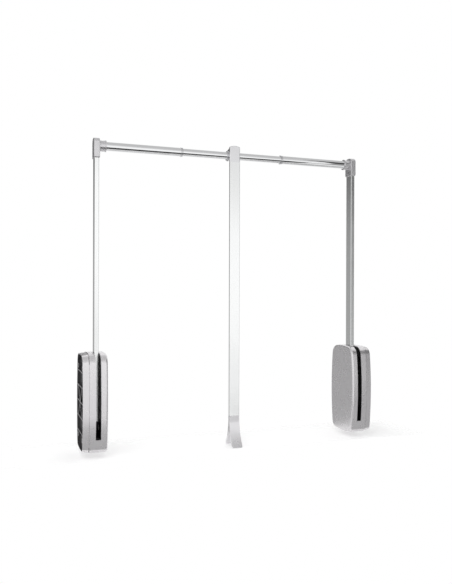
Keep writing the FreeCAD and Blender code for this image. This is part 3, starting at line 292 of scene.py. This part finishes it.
for side in ("left", "right"):
    low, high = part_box(f"{side}_lift_spring")
    axis_x, axis_y = (low.x + high.x) / 2, (low.y + high.y) / 2
    coil_radius = (high.x - low.x) / 2 - wire_radius
    turns = (high.z - low.z - 2 * wire_radius) / spring_pitch
    bm = bmesh.new()
    wire = bmesh.ops.create_circle(bm, cap_ends=True, segments=wire_sides, radius=wire_radius)["verts"]
    bmesh.ops.rotate(bm, verts=wire, matrix=Matrix.Rotation(math.radians(90), 3, "X"))
    bmesh.ops.translate(bm, verts=wire, vec=(axis_x + coil_radius, axis_y, low.z + wire_radius))
    bmesh.ops.spin(bm, geom=bm.faces[:], cent=(axis_x, axis_y, 0), axis=UP, angle=math.tau * turns,
                   dvec=UP * spring_pitch / steps_a_turn, steps=round(turns * steps_a_turn))
    bmesh.ops.recalc_face_normals(bm, faces=bm.faces)
    spring = add_piece(f"{side}_spring", bm, f"{side}_unit", "bright_steel", oiled_steel,
                       f"{side}_lift_spring")
    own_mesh(spring)


# ---------------------------------------------------------------- front covers
# The visible half of each unit, moulded in the same silver ABS. It snaps over the shell's lip with a
# fine groove left between them, and a slot up its front and over its top lets the arm swing out.

side_bulge, end_bulge, top_corner, bottom_corner = 925 * mm, 300 * mm, 30 * mm, 20 * mm
cover_wall, cover_edge, slot_half_width, groove = 2.6 * mm, 5.5 * mm, 7 * mm, 0.8 * mm
slot_from_bottom, slot_behind_arm = 39.5 * mm, 2 * mm
notch_front, notch_back, notch_depth, notch_height = -34 * mm, -27 * mm, 1.6 * mm, 20 * mm
cover_low, cover_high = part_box("left_front_cover")
arm_low, arm_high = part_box("left_arm")
arm_x = (arm_low.x + arm_high.x) / 2
middle_x = sum(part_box("inner_tube"), Vector()).x / 2
mirror_in_middle = Matrix.Translation(ACROSS * middle_x * 2) @ Matrix.Scale(-1, 4, ACROSS)


def trace(bm, origin, across, up, start, strokes, tolerance=0.02 * mm):
    """A flat face, its outline drawn from start on a plane. A stroke runs straight to (u, v), or by an
    arc to (u, v, radius), which turns left, or right where its radius is negative."""
    def at(point):
        return origin + across * point[0] + up * point[1]

    drawn = set(bm.verts)
    pen = bmesh.ops.create_vert(bm, co=at(start))["vert"][0]
    here = Vector(start)
    for stroke in strokes:
        there = Vector(stroke[:2])
        if len(stroke) == 2:
            made = bmesh.ops.extrude_vert_indiv(bm, verts=[pen])["verts"]
            made[0].co = at(there)
        else:
            radius, turn = abs(stroke[2]), math.copysign(1, stroke[2])
            chord = there - here
            rise = math.sqrt(radius ** 2 - chord.length_squared / 4)
            centre = (here + there) / 2 + Vector((-chord.y, chord.x)).normalized() * rise * turn
            angle = 2 * math.asin(chord.length / 2 / radius) * turn
            steps = max(2, math.ceil(abs(angle) / 2 / math.acos(1 - tolerance / radius)))
            made = bmesh.ops.spin(bm, geom=[pen], cent=at(centre), axis=across.cross(up), angle=angle,
                                  dvec=(0, 0, 0), steps=steps)["geom_last"]
        pen = next(item for item in made if isinstance(item, bmesh.types.BMVert))
        here = there
    bmesh.ops.remove_doubles(bm, verts=[v for v in bm.verts if v not in drawn], dist=tolerance / 4)
    outline = {edge for vertex in bm.verts if vertex not in drawn for edge in vertex.link_edges}
    return bmesh.ops.contextual_create(bm, geom=list(outline))["faces"][0]


def pull(bm, faces, along):
    """Pull faces out along a vector. Returns the moved faces."""
    made = bmesh.ops.extrude_face_region(bm, geom=faces)["geom"]
    moved = [item for item in made if isinstance(item, bmesh.types.BMVert)]
    bmesh.ops.translate(bm, verts=moved, vec=along)
    return [item for item in made if isinstance(item, bmesh.types.BMFace)]


def unit_outline(inset):
    """Start and strokes of a side unit's outline, moved in by inset: four bulging sides joined by four
    round corners. A corner's centre is as far from each side's centre as their two radii differ."""
    half_depth, half_height = (cover_high.y - cover_low.y) / 2, (cover_high.z - cover_low.z) / 2
    centre_y = (cover_high.y + cover_low.y) / 2
    sides = [(Vector((centre_y + half_depth - side_bulge, 0)), side_bulge),
             (Vector((centre_y, half_height - end_bulge)), end_bulge),
             (Vector((centre_y - half_depth + side_bulge, 0)), side_bulge),
             (Vector((centre_y, end_bulge - half_height)), end_bulge)]
    strokes = []
    for number, corner in enumerate((top_corner, top_corner, bottom_corner, bottom_corner)):
        (here, radius), (there, next_radius) = sides[number], sides[(number + 1) % 4]
        between = there - here
        near, far = radius - corner, next_radius - corner
        along = (near ** 2 - far ** 2 + between.length_squared) / (2 * between.length)
        off = math.sqrt(near ** 2 - along ** 2)
        heading = between.normalized()
        centre = here + heading * along + Vector((-heading.y, heading.x)) * off
        enter = here + (centre - here).normalized() * (radius - inset)
        leave = there + (centre - there).normalized() * (next_radius - inset)
        strokes += [(*enter, radius - inset), (*leave, corner - inset)]
    return strokes[-1][:2], strokes


def cut_opening(bm, low, high):
    """Cut the skin along the six sides of a box and take away what lies inside the box."""
    for corner in (low, high):
        for normal in (ACROSS, DEPTHWISE, UP):
            bmesh.ops.bisect_plane(bm, geom=bm.verts[:] + bm.edges[:] + bm.faces[:], dist=0.001 * mm,
                                   plane_co=corner, plane_no=normal)
    inside = [face for face in bm.faces if all(
        low[axis] < face.calc_center_median()[axis] < high[axis] for axis in range(3))]
    bmesh.ops.delete(bm, geom=inside, context="FACES")


def add_pair(name, bm, part, slot, material, *nodes):
    """The left piece from the bmesh, and the right one as its mirror image."""
    mirrored = bm.copy()
    bmesh.ops.transform(mirrored, matrix=mirror_in_middle, verts=mirrored.verts)
    bmesh.ops.reverse_faces(mirrored, faces=mirrored.faces)
    return [add_piece(f"{side}_{name}", shape, f"{side}_{part}", slot, material,
                      *[f"{side}_{node}" for node in nodes])
            for side, shape in (("left", bm), ("right", mirrored))]


bm = bmesh.new()
rim = trace(bm, ACROSS * (cover_low.x + groove), DEPTHWISE, UP, *unit_outline(0))
face = pull(bm, [rim], ACROSS * (cover_high.x - cover_low.x - groove))[0]
bmesh.ops.delete(bm, geom=[rim], context="FACES")
round_off(bm, list(face.edges), cover_edge, segments=8)
far_off = 1  # an opening that runs out of the cover runs on to here
cut_opening(bm, Vector((arm_x - slot_half_width, -far_off, cover_low.z + slot_from_bottom)),
            Vector((arm_x + slot_half_width, arm_high.y + slot_behind_arm, far_off)))
cut_opening(bm, Vector((-far_off, notch_front, -far_off)),
            Vector((cover_low.x + notch_depth, notch_back, cover_low.z + notch_height)))
bmesh.ops.recalc_face_normals(bm, faces=bm.faces)
bmesh.ops.solidify(bm, geom=bm.faces[:], thickness=cover_wall)
soften(bm, 0.4 * mm, segments=3)
add_pair("cover", bm, "unit", "silver_plastic", silver_abs, "front_cover")


# ---------------------------------------------------------------- arm feet and rivets
# A die-cast zinc eye turns on each unit's shaft, and its tongue is riveted up inside the arm. One more
# rivet pins each corner connector.

# the foot inside the slot is black and hardly shines: painted shade that keeps the slot dark
slot_shade_black = worn_metal("black zinc for painted slot shade", ("#17171a", "#25252a"), roughness=(0.45, 0.6),
                             cloud=5 * mm, metallic=0.3)

for side in ("left", "right"):
    dress(slot_shade_black, f"{side}_arm_foot")
    dress(zinc_steel, f"{side}_arm_rivets")


# ---------------------------------------------------------------- arms
# Flat hollow aluminium bars, extruded and satin anodised. Each fits over its foot's tongue and up into
# the corner connector, and the die leaves faint lines along its whole length.

arm_wall, arm_corner = 1.6 * mm, 1.2 * mm


def anodised(name, tones, roughness, line_width):
    """Etched and anodised extrusion: pale, satin, with faint lines along Z from the die."""
    material, tree, place, shader = new_material(name)
    # a line is 400 times as long as it is wide
    stretch = add_node(tree, "ShaderNodeMapping", {"Vector": place, "Scale": (1, 1, 1 / 400)})
    lines = add_node(tree, "ShaderNodeTexNoise", {"Vector": stretch.outputs["Vector"],
                                                  "Scale": 1 / line_width, "Detail": 3.0})
    cloud = add_node(tree, "ShaderNodeTexNoise",
                     {"Vector": place, "Scale": 1 / (60 * mm), "Detail": 2.0})
    bump = add_node(tree, "ShaderNodeBump", {"Height": lines.outputs["Fac"], "Strength": 0.2,
                                             "Distance": line_width / 60})
    tree.links.new(mix_tones(tree, lines.outputs["Fac"], tones), shader.inputs["Base Color"])
    tree.links.new(spread(tree, cloud.outputs["Fac"], *roughness), shader.inputs["Roughness"])
    tree.links.new(bump.outputs["Normal"], shader.inputs["Normal"])
    shader.inputs["Metallic"].default_value = 1
    return material


def round_section(bm, centre, width, depth, corner):
    """The level section of an upright bar, a rectangle with round corners about its centre."""
    x, y = width / 2, depth / 2
    section = trace(bm, centre, ACROSS, DEPTHWISE, (-x, -y), [(x, -y), (x, y), (-x, y), (-x, -y)])
    round_off(bm, list(section.verts), corner, segments=7, affect="VERTICES")
    return bm.faces[:][0]


def rounded_bar(bm, centre, width, depth, corner, length, wall):
    """A hollow upright bar with round corners, from its lower end's centre."""
    face = round_section(bm, centre, width, depth, corner)
    ring = bmesh.ops.inset_region(bm, faces=[face], thickness=wall, use_boundary=True,
                                  use_even_offset=True)["faces"]
    bmesh.ops.delete(bm, geom=[face], context="FACES")
    pull(bm, ring, UP * length)
    bmesh.ops.recalc_face_normals(bm, faces=bm.faces)


# etched and anodised aluminium: nearly white silver, with a soft but clear shine
satin_aluminium = anodised("satin anodised aluminium", ("#eceded", "#f6f7f7"), roughness=(0.14, 0.18),
                           line_width=0.9 * mm)

arm_width, arm_depth, arm_length = arm_high - arm_low
bm = bmesh.new()
rounded_bar(bm, Vector((arm_x, 0, arm_low.z)), arm_width, arm_depth, arm_corner, arm_length, arm_wall)
soften(bm, 0.25 * mm, above=60)
add_pair("arm_profile", bm, "arm", "anodised_aluminium", satin_aluminium, "arm")


# ---------------------------------------------------------------- corner connectors
# A zinc casting caps each arm and holds the rod's end: an arched crown, softly rounded edges and a
# silver powder coat.

# silver-grey powder coat: fine orange peel with a metallic flake
powder_coat = moulded("silver powder coat", ("#cdccce", "#e2e1e3"), metallic=0.85,
                      roughness=(0.26, 0.34), flake=1.0 * mm, grain=1.2 * mm)

crown_rise, shoulder, heel, socket_play = 3 * mm, 12 * mm, 4 * mm, 0.25 * mm
connector_low, connector_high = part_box("left_corner_connector")
half_depth, foot_z = connector_high.y, connector_low.z
crown_radius = (half_depth ** 2 + crown_rise ** 2) / 2 / crown_rise
crown_z = connector_high.z - crown_radius


def carve(bm, tool, operation="DIFFERENCE"):
    """The bmesh with a tool's shape cut away from it or joined to it. Both are used up."""
    holders = []
    for shape in (bm, tool):
        holder = bpy.data.objects.new("carving", bpy.data.meshes.new("carving"))
        shape.to_mesh(holder.data)
        shape.free()
        bpy.context.scene.collection.objects.link(holder)
        holders.append(holder)
    boolean = holders[0].modifiers.new("carve", "BOOLEAN")
    boolean.object, boolean.operation, boolean.solver = holders[1], operation, "EXACT"
    carved = bmesh.new()
    carved.from_object(holders[0], bpy.context.evaluated_depsgraph_get())
    for holder in holders:
        bpy.data.meshes.remove(holder.data)
    make_whole(carved)
    return carved


shoulder_y = half_depth - shoulder
shoulder_z = crown_z + math.sqrt((crown_radius - shoulder) ** 2 - shoulder_y ** 2)
toward_shoulder = Vector((shoulder_y, shoulder_z - crown_z)).normalized()
crown_end = Vector((0, crown_z)) + toward_shoulder * crown_radius
bm = bmesh.new()
profile = trace(bm, ACROSS * connector_low.x, DEPTHWISE, UP, (heel - half_depth, foot_z), [
    (half_depth - heel, foot_z), (half_depth, foot_z + heel, heel), (half_depth, shoulder_z),
    (*crown_end, shoulder), (-crown_end.x, crown_end.y, crown_radius),
    (-half_depth, shoulder_z, shoulder), (-half_depth, foot_z + heel),
    (heel - half_depth, foot_z, heel),
])
pull(bm, [profile], ACROSS * (connector_high.x - connector_low.x))
bmesh.ops.recalc_face_normals(bm, faces=bm.faces)
soften(bm, 1.1 * mm, segments=4, above=60)
socket = bmesh.new()
section = round_section(socket, Vector((arm_x, 0, foot_z - heel)), arm_width + socket_play * 2,
                        arm_depth + socket_play * 2, arm_corner)
pull(socket, [section], UP * (arm_high.z - foot_z + heel))
bmesh.ops.recalc_face_normals(socket, faces=socket.faces)
bm = carve(bm, socket)
add_pair("corner", bm, "arm", "cast_zinc", powder_coat, "corner_connector")


# ---------------------------------------------------------------- tube collars and their screws
# A turned collar with the same coat grips the rod's end beside each connector. It ends in a raised
# ring, and a grub screw pinches the tube from below.

collar_wall, lip_height, lip_length = 2.6 * mm, 0.9 * mm, 2.5 * mm
collar_low, collar_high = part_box("left_tube_collar")
tube_low, tube_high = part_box("left_outer_tube")
rod_z = (tube_low.z + tube_high.z) / 2
tube_radius = (tube_high.z - tube_low.z) / 2


def turn(bm, start, strokes, sides=72):
    """A closed outline, drawn along the rod's axis and out from it, turned round that axis."""
    profile = trace(bm, UP * rod_z, ACROSS, UP, start, strokes)
    outline = list(profile.edges)
    bmesh.ops.delete(bm, geom=[profile], context="FACES_ONLY")
    bmesh.ops.spin(bm, geom=outline, cent=UP * rod_z, axis=ACROSS, dvec=(0, 0, 0), angle=math.tau,
                   steps=sides, use_merge=True)
    bmesh.ops.remove_doubles(bm, verts=bm.verts, dist=weld)
    bmesh.ops.recalc_face_normals(bm, faces=bm.faces)


ring_radius = tube_radius + collar_wall
bm = bmesh.new()
turn(bm, (collar_low.x, tube_radius), [
    (collar_high.x, tube_radius), (collar_high.x, ring_radius + lip_height),
    (collar_high.x - lip_length, ring_radius + lip_height), (collar_high.x - lip_length, ring_radius),
    (collar_low.x, ring_radius), (collar_low.x, tube_radius),
])
soften(bm, 0.4 * mm, segments=3)
add_pair("collar", bm, "arm", "cast_zinc", powder_coat, "tube_collar")
for side in ("left", "right"):
    dress(zinc_steel, f"{side}_collar_screw")


# ---------------------------------------------------------------- rod
# Three chromed steel tubes: the middle one slides in the outer two on acetal glides, and a grey plastic
# ring at each outer tube's mouth guides it.

tube_wall = 1.2 * mm


def plated(name, tones, roughness, wave):
    """Bright chrome on drawn tube: mirror gloss, a hint of draw lines along X, nearly no colour."""
    material, tree, place, shader = new_material(name)
    # the drawing die leaves waves 30 times as long as they are wide
    stretch = add_node(tree, "ShaderNodeMapping", {"Vector": place, "Scale": (1 / 30, 1, 1)})
    waves = add_node(tree, "ShaderNodeTexNoise",
                     {"Vector": stretch.outputs["Vector"], "Scale": 1 / wave, "Detail": 1.0})
    haze = add_node(tree, "ShaderNodeTexNoise",
                    {"Vector": place, "Scale": 1 / (40 * mm), "Detail": 3.0})
    bump = add_node(tree, "ShaderNodeBump",
                    {"Height": waves.outputs["Fac"], "Strength": 0.1, "Distance": wave / 800})
    tree.links.new(mix_tones(tree, haze.outputs["Fac"], tones), shader.inputs["Base Color"])
    tree.links.new(spread(tree, haze.outputs["Fac"], *roughness), shader.inputs["Roughness"])
    tree.links.new(bump.outputs["Normal"], shader.inputs["Normal"])
    shader.inputs["Metallic"].default_value = 1
    return material


# bright chrome plate on steel: a mirror, blurred only a little
chrome = plated("bright chrome", ("#e9e9ea", "#eff0f1"), roughness=(0.03, 0.06), wave=6 * mm)
# metallised polyamide: grey plastic under a thin bright film, nearly as glossy as the tubes
metallised = moulded("metallised polyamide", ("#c6c6c8", "#d2d2d4"), metallic=0.9,
                     roughness=(0.12, 0.18), flake=2 * mm, grain=0.8 * mm)


def add_tube(bm, start_x, end_x, radius):
    """A plain tube round the rod's axis, its ends' edges broken."""
    bore = radius - tube_wall
    strokes = [(end_x, bore), (end_x, radius), (start_x, radius), (start_x, bore)]
    turn(bm, (start_x, bore), strokes, sides=96)
    soften(bm, 0.3 * mm, segments=3)


bm = bmesh.new()
add_tube(bm, tube_low.x, tube_high.x, tube_radius)
add_pair("chromed_tube", bm, "arm", "chromed_steel", chrome, "outer_tube")

ring_low, ring_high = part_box("left_guide_ring")
inner_low, inner_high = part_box("inner_tube")
inner_radius = (inner_high.z - inner_low.z) / 2
ring_bore, ring_outside = inner_radius + 0.1 * mm, (ring_high.z - ring_low.z) / 2
bm = bmesh.new()
turn(bm, (ring_low.x, tube_radius), [
    (tube_high.x, tube_radius), (tube_high.x, ring_bore), (ring_high.x, ring_bore),
    (ring_high.x, ring_outside), (ring_low.x, ring_outside), (ring_low.x, tube_radius),
])
soften(bm, 0.25 * mm)
add_pair("mouth_ring", bm, "arm", "grey_plastic", metallised, "guide_ring")

bm = bmesh.new()
add_tube(bm, inner_low.x, inner_high.x, inner_radius)
add_piece("middle_tube", bm, "centre_tube", "chromed_steel", chrome, "inner_tube")
dress(acetal, "tube_glides")


# ---------------------------------------------------------------- handle head and bush
# A zinc casting hangs the handle on the rod: a plate with an arched top, and behind it a hub lined with
# a two-part plastic bush whose flanges stand out on both sides.

head_crown, head_edge, hub_radius, hub_root_above = 3 * mm, 1.4 * mm, 16 * mm, 20 * mm
head_below_rod, hub_overlap, flange_height, bush_play = 21.5 * mm, 1 * mm, 1 * mm, 0.05 * mm
bar_low, bar_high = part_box("handle_bar")
head_low, head_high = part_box("handle_head")
bush_low, bush_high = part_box("handle_bush")
bar_half = (bar_high.x - bar_low.x) / 2
arch = (bar_half ** 2 + head_crown ** 2) / 2 / head_crown
head_foot, arch_foot = rod_z - head_below_rod, head_high.z - head_crown

bm = bmesh.new()
front = trace(bm, Vector((middle_x, bar_low.y, 0)), ACROSS, UP, (-bar_half, head_foot), [
    (bar_half, head_foot), (bar_half, arch_foot), (-bar_half, arch_foot, arch), (-bar_half, head_foot),
])
pull(bm, [front], DEPTHWISE * (bar_high.y - bar_low.y))
bmesh.ops.recalc_face_normals(bm, faces=bm.faces)
# the foot stays sharp, where the bar meets it
foot = [edge for edge in bm.edges if all(vertex.co.z < head_foot + mm for vertex in edge.verts)]
rounded = [edge for edge in bm.edges if edge not in foot and edge.calc_face_angle() > math.radians(35)]
round_off(bm, rounded, head_edge, segments=4)
hub = bmesh.new()
root_y, hub_foot = bar_high.y - hub_overlap, rod_z - hub_radius
flank = trace(hub, ACROSS * (middle_x - bar_half), DEPTHWISE, UP, (root_y, hub_foot), [
    (0, hub_foot), (hub_radius, rod_z, hub_radius), (0, rod_z + hub_radius, hub_radius),
    (root_y, rod_z + hub_root_above), (root_y, hub_foot),
])
pull(hub, [flank], ACROSS * bar_half * 2)
bmesh.ops.recalc_face_normals(hub, faces=hub.faces)
soften(hub, 0.8 * mm, segments=3, above=60)
bm = carve(bm, hub, "UNION")
flange = (bush_high.z - bush_low.z) / 2
barrel = flange - flange_height
bore = bmesh.new()
along_rod = Matrix.Translation((middle_x, 0, rod_z)) @ Matrix.Rotation(math.radians(90), 4, "Y")
bmesh.ops.create_cone(bore, cap_ends=True, segments=72, radius1=barrel, radius2=barrel,
                      depth=bar_half * 4, matrix=along_rod)
bm = carve(bm, bore)
# satin chromed zinc: as pale and soft as the bar below it, without its lines
satin_zinc = worn_metal("satin chromed zinc", ("#e6e6e8", "#efeff1"), roughness=(0.17, 0.24),
                        cloud=8 * mm)
add_piece("handle_hanger", bm, "pull_handle", "cast_zinc", satin_zinc, "handle_head")

bm = bmesh.new()
flange_length, bush_bore = head_low.x - bush_low.x, inner_radius + bush_play
turn(bm, (bush_low.x, bush_bore), [
    (bush_high.x, bush_bore), (bush_high.x, flange), (bush_high.x - flange_length, flange),
    (bush_high.x - flange_length, barrel), (bush_low.x + flange_length, barrel),
    (bush_low.x + flange_length, flange), (bush_low.x, flange), (bush_low.x, bush_bore),
])
soften(bm, 0.4 * mm, segments=3)
add_piece("hub_bush", bm, "pull_handle", "grey_plastic", metallised, "handle_bush")


# ---------------------------------------------------------------- handle bar
# A flat hollow aluminium extrusion, satin anodised like the arms. Two countersunk screws in its back
# hold the head's and the grip's tongues.

bar_corner, bar_wall = 1.2 * mm, 1.3 * mm
bar_width, bar_depth, bar_length = bar_high - bar_low
bm = bmesh.new()
bar_middle = Vector((middle_x, (bar_low.y + bar_high.y) / 2, bar_low.z))
rounded_bar(bm, bar_middle, bar_width, bar_depth, bar_corner, bar_length, bar_wall)
soften(bm, 0.2 * mm, above=60)
add_piece("handle_profile", bm, "pull_handle", "anodised_aluminium", satin_aluminium, "handle_bar")
dress(zinc_steel, "handle_screws")


# ---------------------------------------------------------------- grip
# Moulded in silver ABS over the bar's lower end: a straight band, then two wings that part like an
# inverted V, one to the front for the hand and one to the back.

band, crotch, wing_thickness, wing_sweep, wing_corner = 17 * mm, 44 * mm, 5 * mm, 160 * mm, 6 * mm
grip_low, grip_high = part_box("handle_grip")
grip_top = bar_low.z
bm = bmesh.new()
flank = trace(bm, ACROSS * (middle_x - bar_half), DEPTHWISE, UP, (bar_low.y, grip_top), [
    (bar_low.y, grip_top - band), (grip_low.y, grip_low.z, -wing_sweep),
    (grip_low.y + wing_thickness, grip_low.z), (bar_middle.y, grip_top - crotch, wing_sweep),
    (grip_high.y - wing_thickness, grip_low.z, wing_sweep), (grip_high.y, grip_low.z),
    (bar_high.y, grip_top - band, -wing_sweep), (bar_high.y, grip_top), (bar_low.y, grip_top),
])
pull(bm, [flank], ACROSS * bar_half * 2)
bmesh.ops.recalc_face_normals(bm, faces=bm.faces)
# a wing's corners are the edges at its tip that run front to back
tips = [edge for edge in bm.edges if all(vertex.co.z < grip_low.z + weld for vertex in edge.verts)
        and abs((edge.verts[0].co - edge.verts[1].co).y) > wing_thickness / 2]
round_off(bm, tips, wing_corner, segments=8)
soften(bm, 0.9 * mm, segments=3, above=50)
# the grip's silver ABS, a little paler than the housings'
grip_abs = moulded("pale silver ABS", ("#e0dfe1", "#ebeaec"), metallic=0.85, roughness=(0.26, 0.32),
                   flake=0.8 * mm, grain=0.7 * mm)
add_piece("grip", bm, "pull_handle", "grip_plastic", grip_abs, "handle_grip")


# ---------------------------------------------------------------- stage
# A white table in a white studio. A lit wall in front, a dim ceiling and grey and black cards stand
# round the lift for its metal to show. The camera sees the table and the white world alone.


def add_stage(name, bm, material):
    """Floor or backdrop from a bmesh."""
    mesh = bpy.data.meshes.new(name)
    bm.to_mesh(mesh)
    bm.free()
    mesh.materials.append(material)
    piece = bpy.data.objects.new(name, mesh)
    bpy.context.scene.collection.objects.link(piece)
    return piece


def bare_material(name):
    """A material with no nodes but its output and its coordinates."""
    material = bpy.data.materials.new(name)
    material.use_nodes = True
    tree = material.node_tree
    tree.nodes.clear()
    place = add_node(tree, "ShaderNodeTexCoord", {}).outputs["Object"]
    return material, tree, place, add_node(tree, "ShaderNodeOutputMaterial", {})


def larger(tree, one, other):
    """The larger of two values."""
    return add_node(tree, "ShaderNodeMath", {0: one, 1: other}, operation="MAXIMUM").outputs[0]


# matt white, and lit up a little for the camera and for what metal shows of it
white_table, tree, place, output = bare_material("white table")
path = add_node(tree, "ShaderNodeLightPath", {})
seen = larger(tree, path.outputs["Is Camera Ray"],
              larger(tree, path.outputs["Is Glossy Ray"], path.outputs["Is Transmission Ray"]))
table_glow = 0.38
shown = add_node(tree, "ShaderNodeMath", {0: seen, 1: table_glow}, operation="MULTIPLY").outputs[0]
shade = add_node(tree, "ShaderNodeBsdfDiffuse", {"Color": (0.8, 0.8, 0.8, 1)})
glow = add_node(tree, "ShaderNodeEmission", {"Color": (1, 1, 1, 1), "Strength": shown})
lit = add_node(tree, "ShaderNodeAddShader", {0: shade.outputs["BSDF"], 1: glow.outputs["Emission"]})
floor_z, table_front, table_back, table_half, fade = cad_box[0].z - 1.5 * mm, -0.06, 0.2, 0.65, 0.11
# its back and its ends fade away, and the shadows on them with it
spot = add_node(tree, "ShaderNodeSeparateXYZ", {0: place})
off_middle = add_node(tree, "ShaderNodeMath", {0: spot.outputs["X"], 1: middle_x}, operation="SUBTRACT")
off_middle = add_node(tree, "ShaderNodeMath", {0: off_middle.outputs[0]}, operation="ABSOLUTE")
gone = larger(tree, *[
    add_node(tree, "ShaderNodeMapRange", {"Value": value, "From Min": edge - fade, "From Max": edge},
             interpolation_type="SMOOTHSTEP").outputs["Result"]
    for value, edge in ((off_middle.outputs[0], table_half), (spot.outputs["Y"], table_back))])
clear = add_node(tree, "ShaderNodeBsdfTransparent", {})
faded = add_node(tree, "ShaderNodeMixShader", {0: gone, 1: lit.outputs[0], 2: clear.outputs["BSDF"]})
tree.links.new(faded.outputs[0], output.inputs["Surface"])
bm = bmesh.new()
bmesh.ops.create_grid(bm, x_segments=1, y_segments=1, size=0.5)
bmesh.ops.scale(bm, verts=bm.verts, vec=(table_half * 2, table_back - table_front, 1))
bmesh.ops.translate(bm, verts=bm.verts, vec=(middle_x, (table_front + table_back) / 2, floor_z))
add_stage("table_top", bm, white_table)


def lit_card(name, stops, slant=0):
    """A card's light from its foot to its top, from pairs of height and brightness. A slant carries
    each brightness down to the right."""
    material, tree, place, output = bare_material(name)
    spot = add_node(tree, "ShaderNodeSeparateXYZ", {0: place})
    rightward = add_node(tree, "ShaderNodeMath", {0: spot.outputs["X"], 1: 0.0}, operation="MAXIMUM")
    height = add_node(tree, "ShaderNodeMath", {0: rightward.outputs[0], 1: slant, 2: spot.outputs["Z"]},
                      operation="MULTIPLY_ADD")
    low, high = stops[0][0], stops[-1][0]
    share = add_node(tree, "ShaderNodeMapRange",
                     {"Value": height.outputs[0], "From Min": low, "From Max": high})
    ramp = add_node(tree, "ShaderNodeValToRGB", {"Fac": share.outputs["Result"]})
    elements = ramp.color_ramp.elements
    for z, light in stops[1:-1]:
        elements.new((z - low) / (high - low))
    for element, (z, light) in zip(elements, stops):
        element.color = (light, light, light, 1)
    shine = add_node(tree, "ShaderNodeEmission", {"Color": ramp.outputs["Color"], "Strength": 1.0})
    tree.links.new(shine.outputs["Emission"], output.inputs["Surface"])
    return material


def add_card(name, material, origin, across, up, corners):
    """A flat card, its corners drawn from an origin on a plane. Metal shows it, the camera doesn't."""
    bm = bmesh.new()
    trace(bm, Vector(origin), across, up, corners[0], corners[1:] + corners[:1])
    add_stage(name, bm, material).visible_camera = False


def add_screen(name, material, left, right, low, high):
    """An upright card that stands over a line from left to right."""
    along = Vector((*right, 0)) - Vector((*left, 0))
    add_card(name, material, (*left, 0), along.normalized(), UP,
             [(0, low), (along.length, low), (along.length, high), (0, high)])


# the wall in front is brightest at the lift's upper half
wall_left, wall_right, wall_y, wall_foot, wall_top = -1.7, 1.75, -1.95, -0.06, 2.0
wall_light = lit_card("lit white wall", [
    (-0.06, 0.86), (0.2, 0.98), (0.42, 1.08), (0.66, 1.1), (1.06, 1.1), (1.32, 0.91), (1.6, 0.84),
    (2.0, 0.68)], slant=0.35)
add_screen("light_wall", wall_light, (wall_left, wall_y), (wall_right, wall_y), wall_foot, wall_top)
# the ceiling and a card under the table are dim
under_table, ceiling_z = floor_z - 10 * mm, 2.1
add_card("apron", lit_card("dim card under the table", [(-0.2, 0.45), (-0.1, 0.45)]),
         (0, 0, under_table), ACROSS, DEPTHWISE, [(-1.7, -0.4), (1.9, -0.4), (1.9, 0.5), (-1.7, 0.5)])
add_card("ceiling", lit_card("dim ceiling", [(2.0, 0.6), (2.2, 0.6)]),
         (0, 0, ceiling_z), ACROSS, DEPTHWISE,
         [(wall_left, wall_y), (wall_right, wall_y), (wall_right, 0.9), (wall_left, 0.9)])
# the right arm and unit show a folding card that stands on the right, pale at its foot
right_card = lit_card("grey card on the right", [
    (-0.5, 0.46), (0.0, 0.4), (0.3, 0.32), (0.72, 0.26), (1.0, 0.13), (1.25, 0.07), (2.6, 0.07)])
add_screen("right_card", right_card, (1.9, -2.1), (3.9, 0.8), -0.9, 2.6)
add_screen("right_fold", right_card, (3.9, 0.8), (3.9, 3.2), -0.9, 2.6)
# the right unit's inner face shows one at the back on the left
add_screen("left_card", lit_card("grey card on the left", [
    (-0.6, 0.42), (0.2, 0.38), (0.6, 0.36), (1.0, 0.28), (1.35, 0.15), (2.6, 0.15)]),
    (-2.4, 1.1), (0.5, 4.55), -0.9, 2.6)
# a black card hangs low in front and draws the dark line along the rod
add_card("black_card", lit_card("black card", [(-6, 0.01), (0, 0.01)]), (0, -3, 0), ACROSS, UP,
         [(-2, -5.6), (1.3, -5.6), (3.1, -3.7), (2.3, -0.45), (1.9, -0.45), (1.75, -0.75), (0.9, -1.15),
          (-2, -1.15)])

# plain white all round
world = bpy.data.worlds.new("white studio")
bpy.context.scene.world = world
world.use_nodes = True
world.node_tree.nodes.clear()
light = add_node(world.node_tree, "ShaderNodeBackground", {"Color": (1, 1, 1, 1), "Strength": 1.0})
add_node(world.node_tree, "ShaderNodeOutputWorld", {"Surface": light.outputs["Background"]})

for name, place, aim, size, power in (
        ("overhead lamp", (-0.2, -1.2, 2.0), (0.44, 0, 0.1), 1.6, 20),
        ("side lamp", (2.4, -1.2, 1.0), (0.44, 0, 0.3), 1.2, 4)):
    lamp = bpy.data.objects.new(name, bpy.data.lights.new(name, "AREA"))
    lamp.data.size, lamp.data.energy = size, power
    lamp.location = place
    lamp.rotation_euler = (Vector(aim) - Vector(place)).to_track_quat("-Z", "Y").to_euler()
    lamp.visible_glossy = False
    bpy.context.scene.collection.objects.link(lamp)

camera = bpy.data.objects.new("camera", bpy.data.cameras.new("camera"))
bpy.context.scene.collection.objects.link(camera)
to_right, downward, roll = 0.3439, 0.0016, 0.003
camera.location = (-0.2193, -1.7936, 0.3053)
camera.rotation_euler = (Matrix.Rotation(-to_right, 3, "Z")
                         @ Matrix.Rotation(math.radians(90) - downward, 3, "X")
                         @ Matrix.Rotation(roll, 3, "Z")).to_euler()
camera.data.lens, camera.data.sensor_width = 39.70, 36
bpy.context.scene.camera = camera
bpy.context.scene.view_settings.view_transform = "Standard"
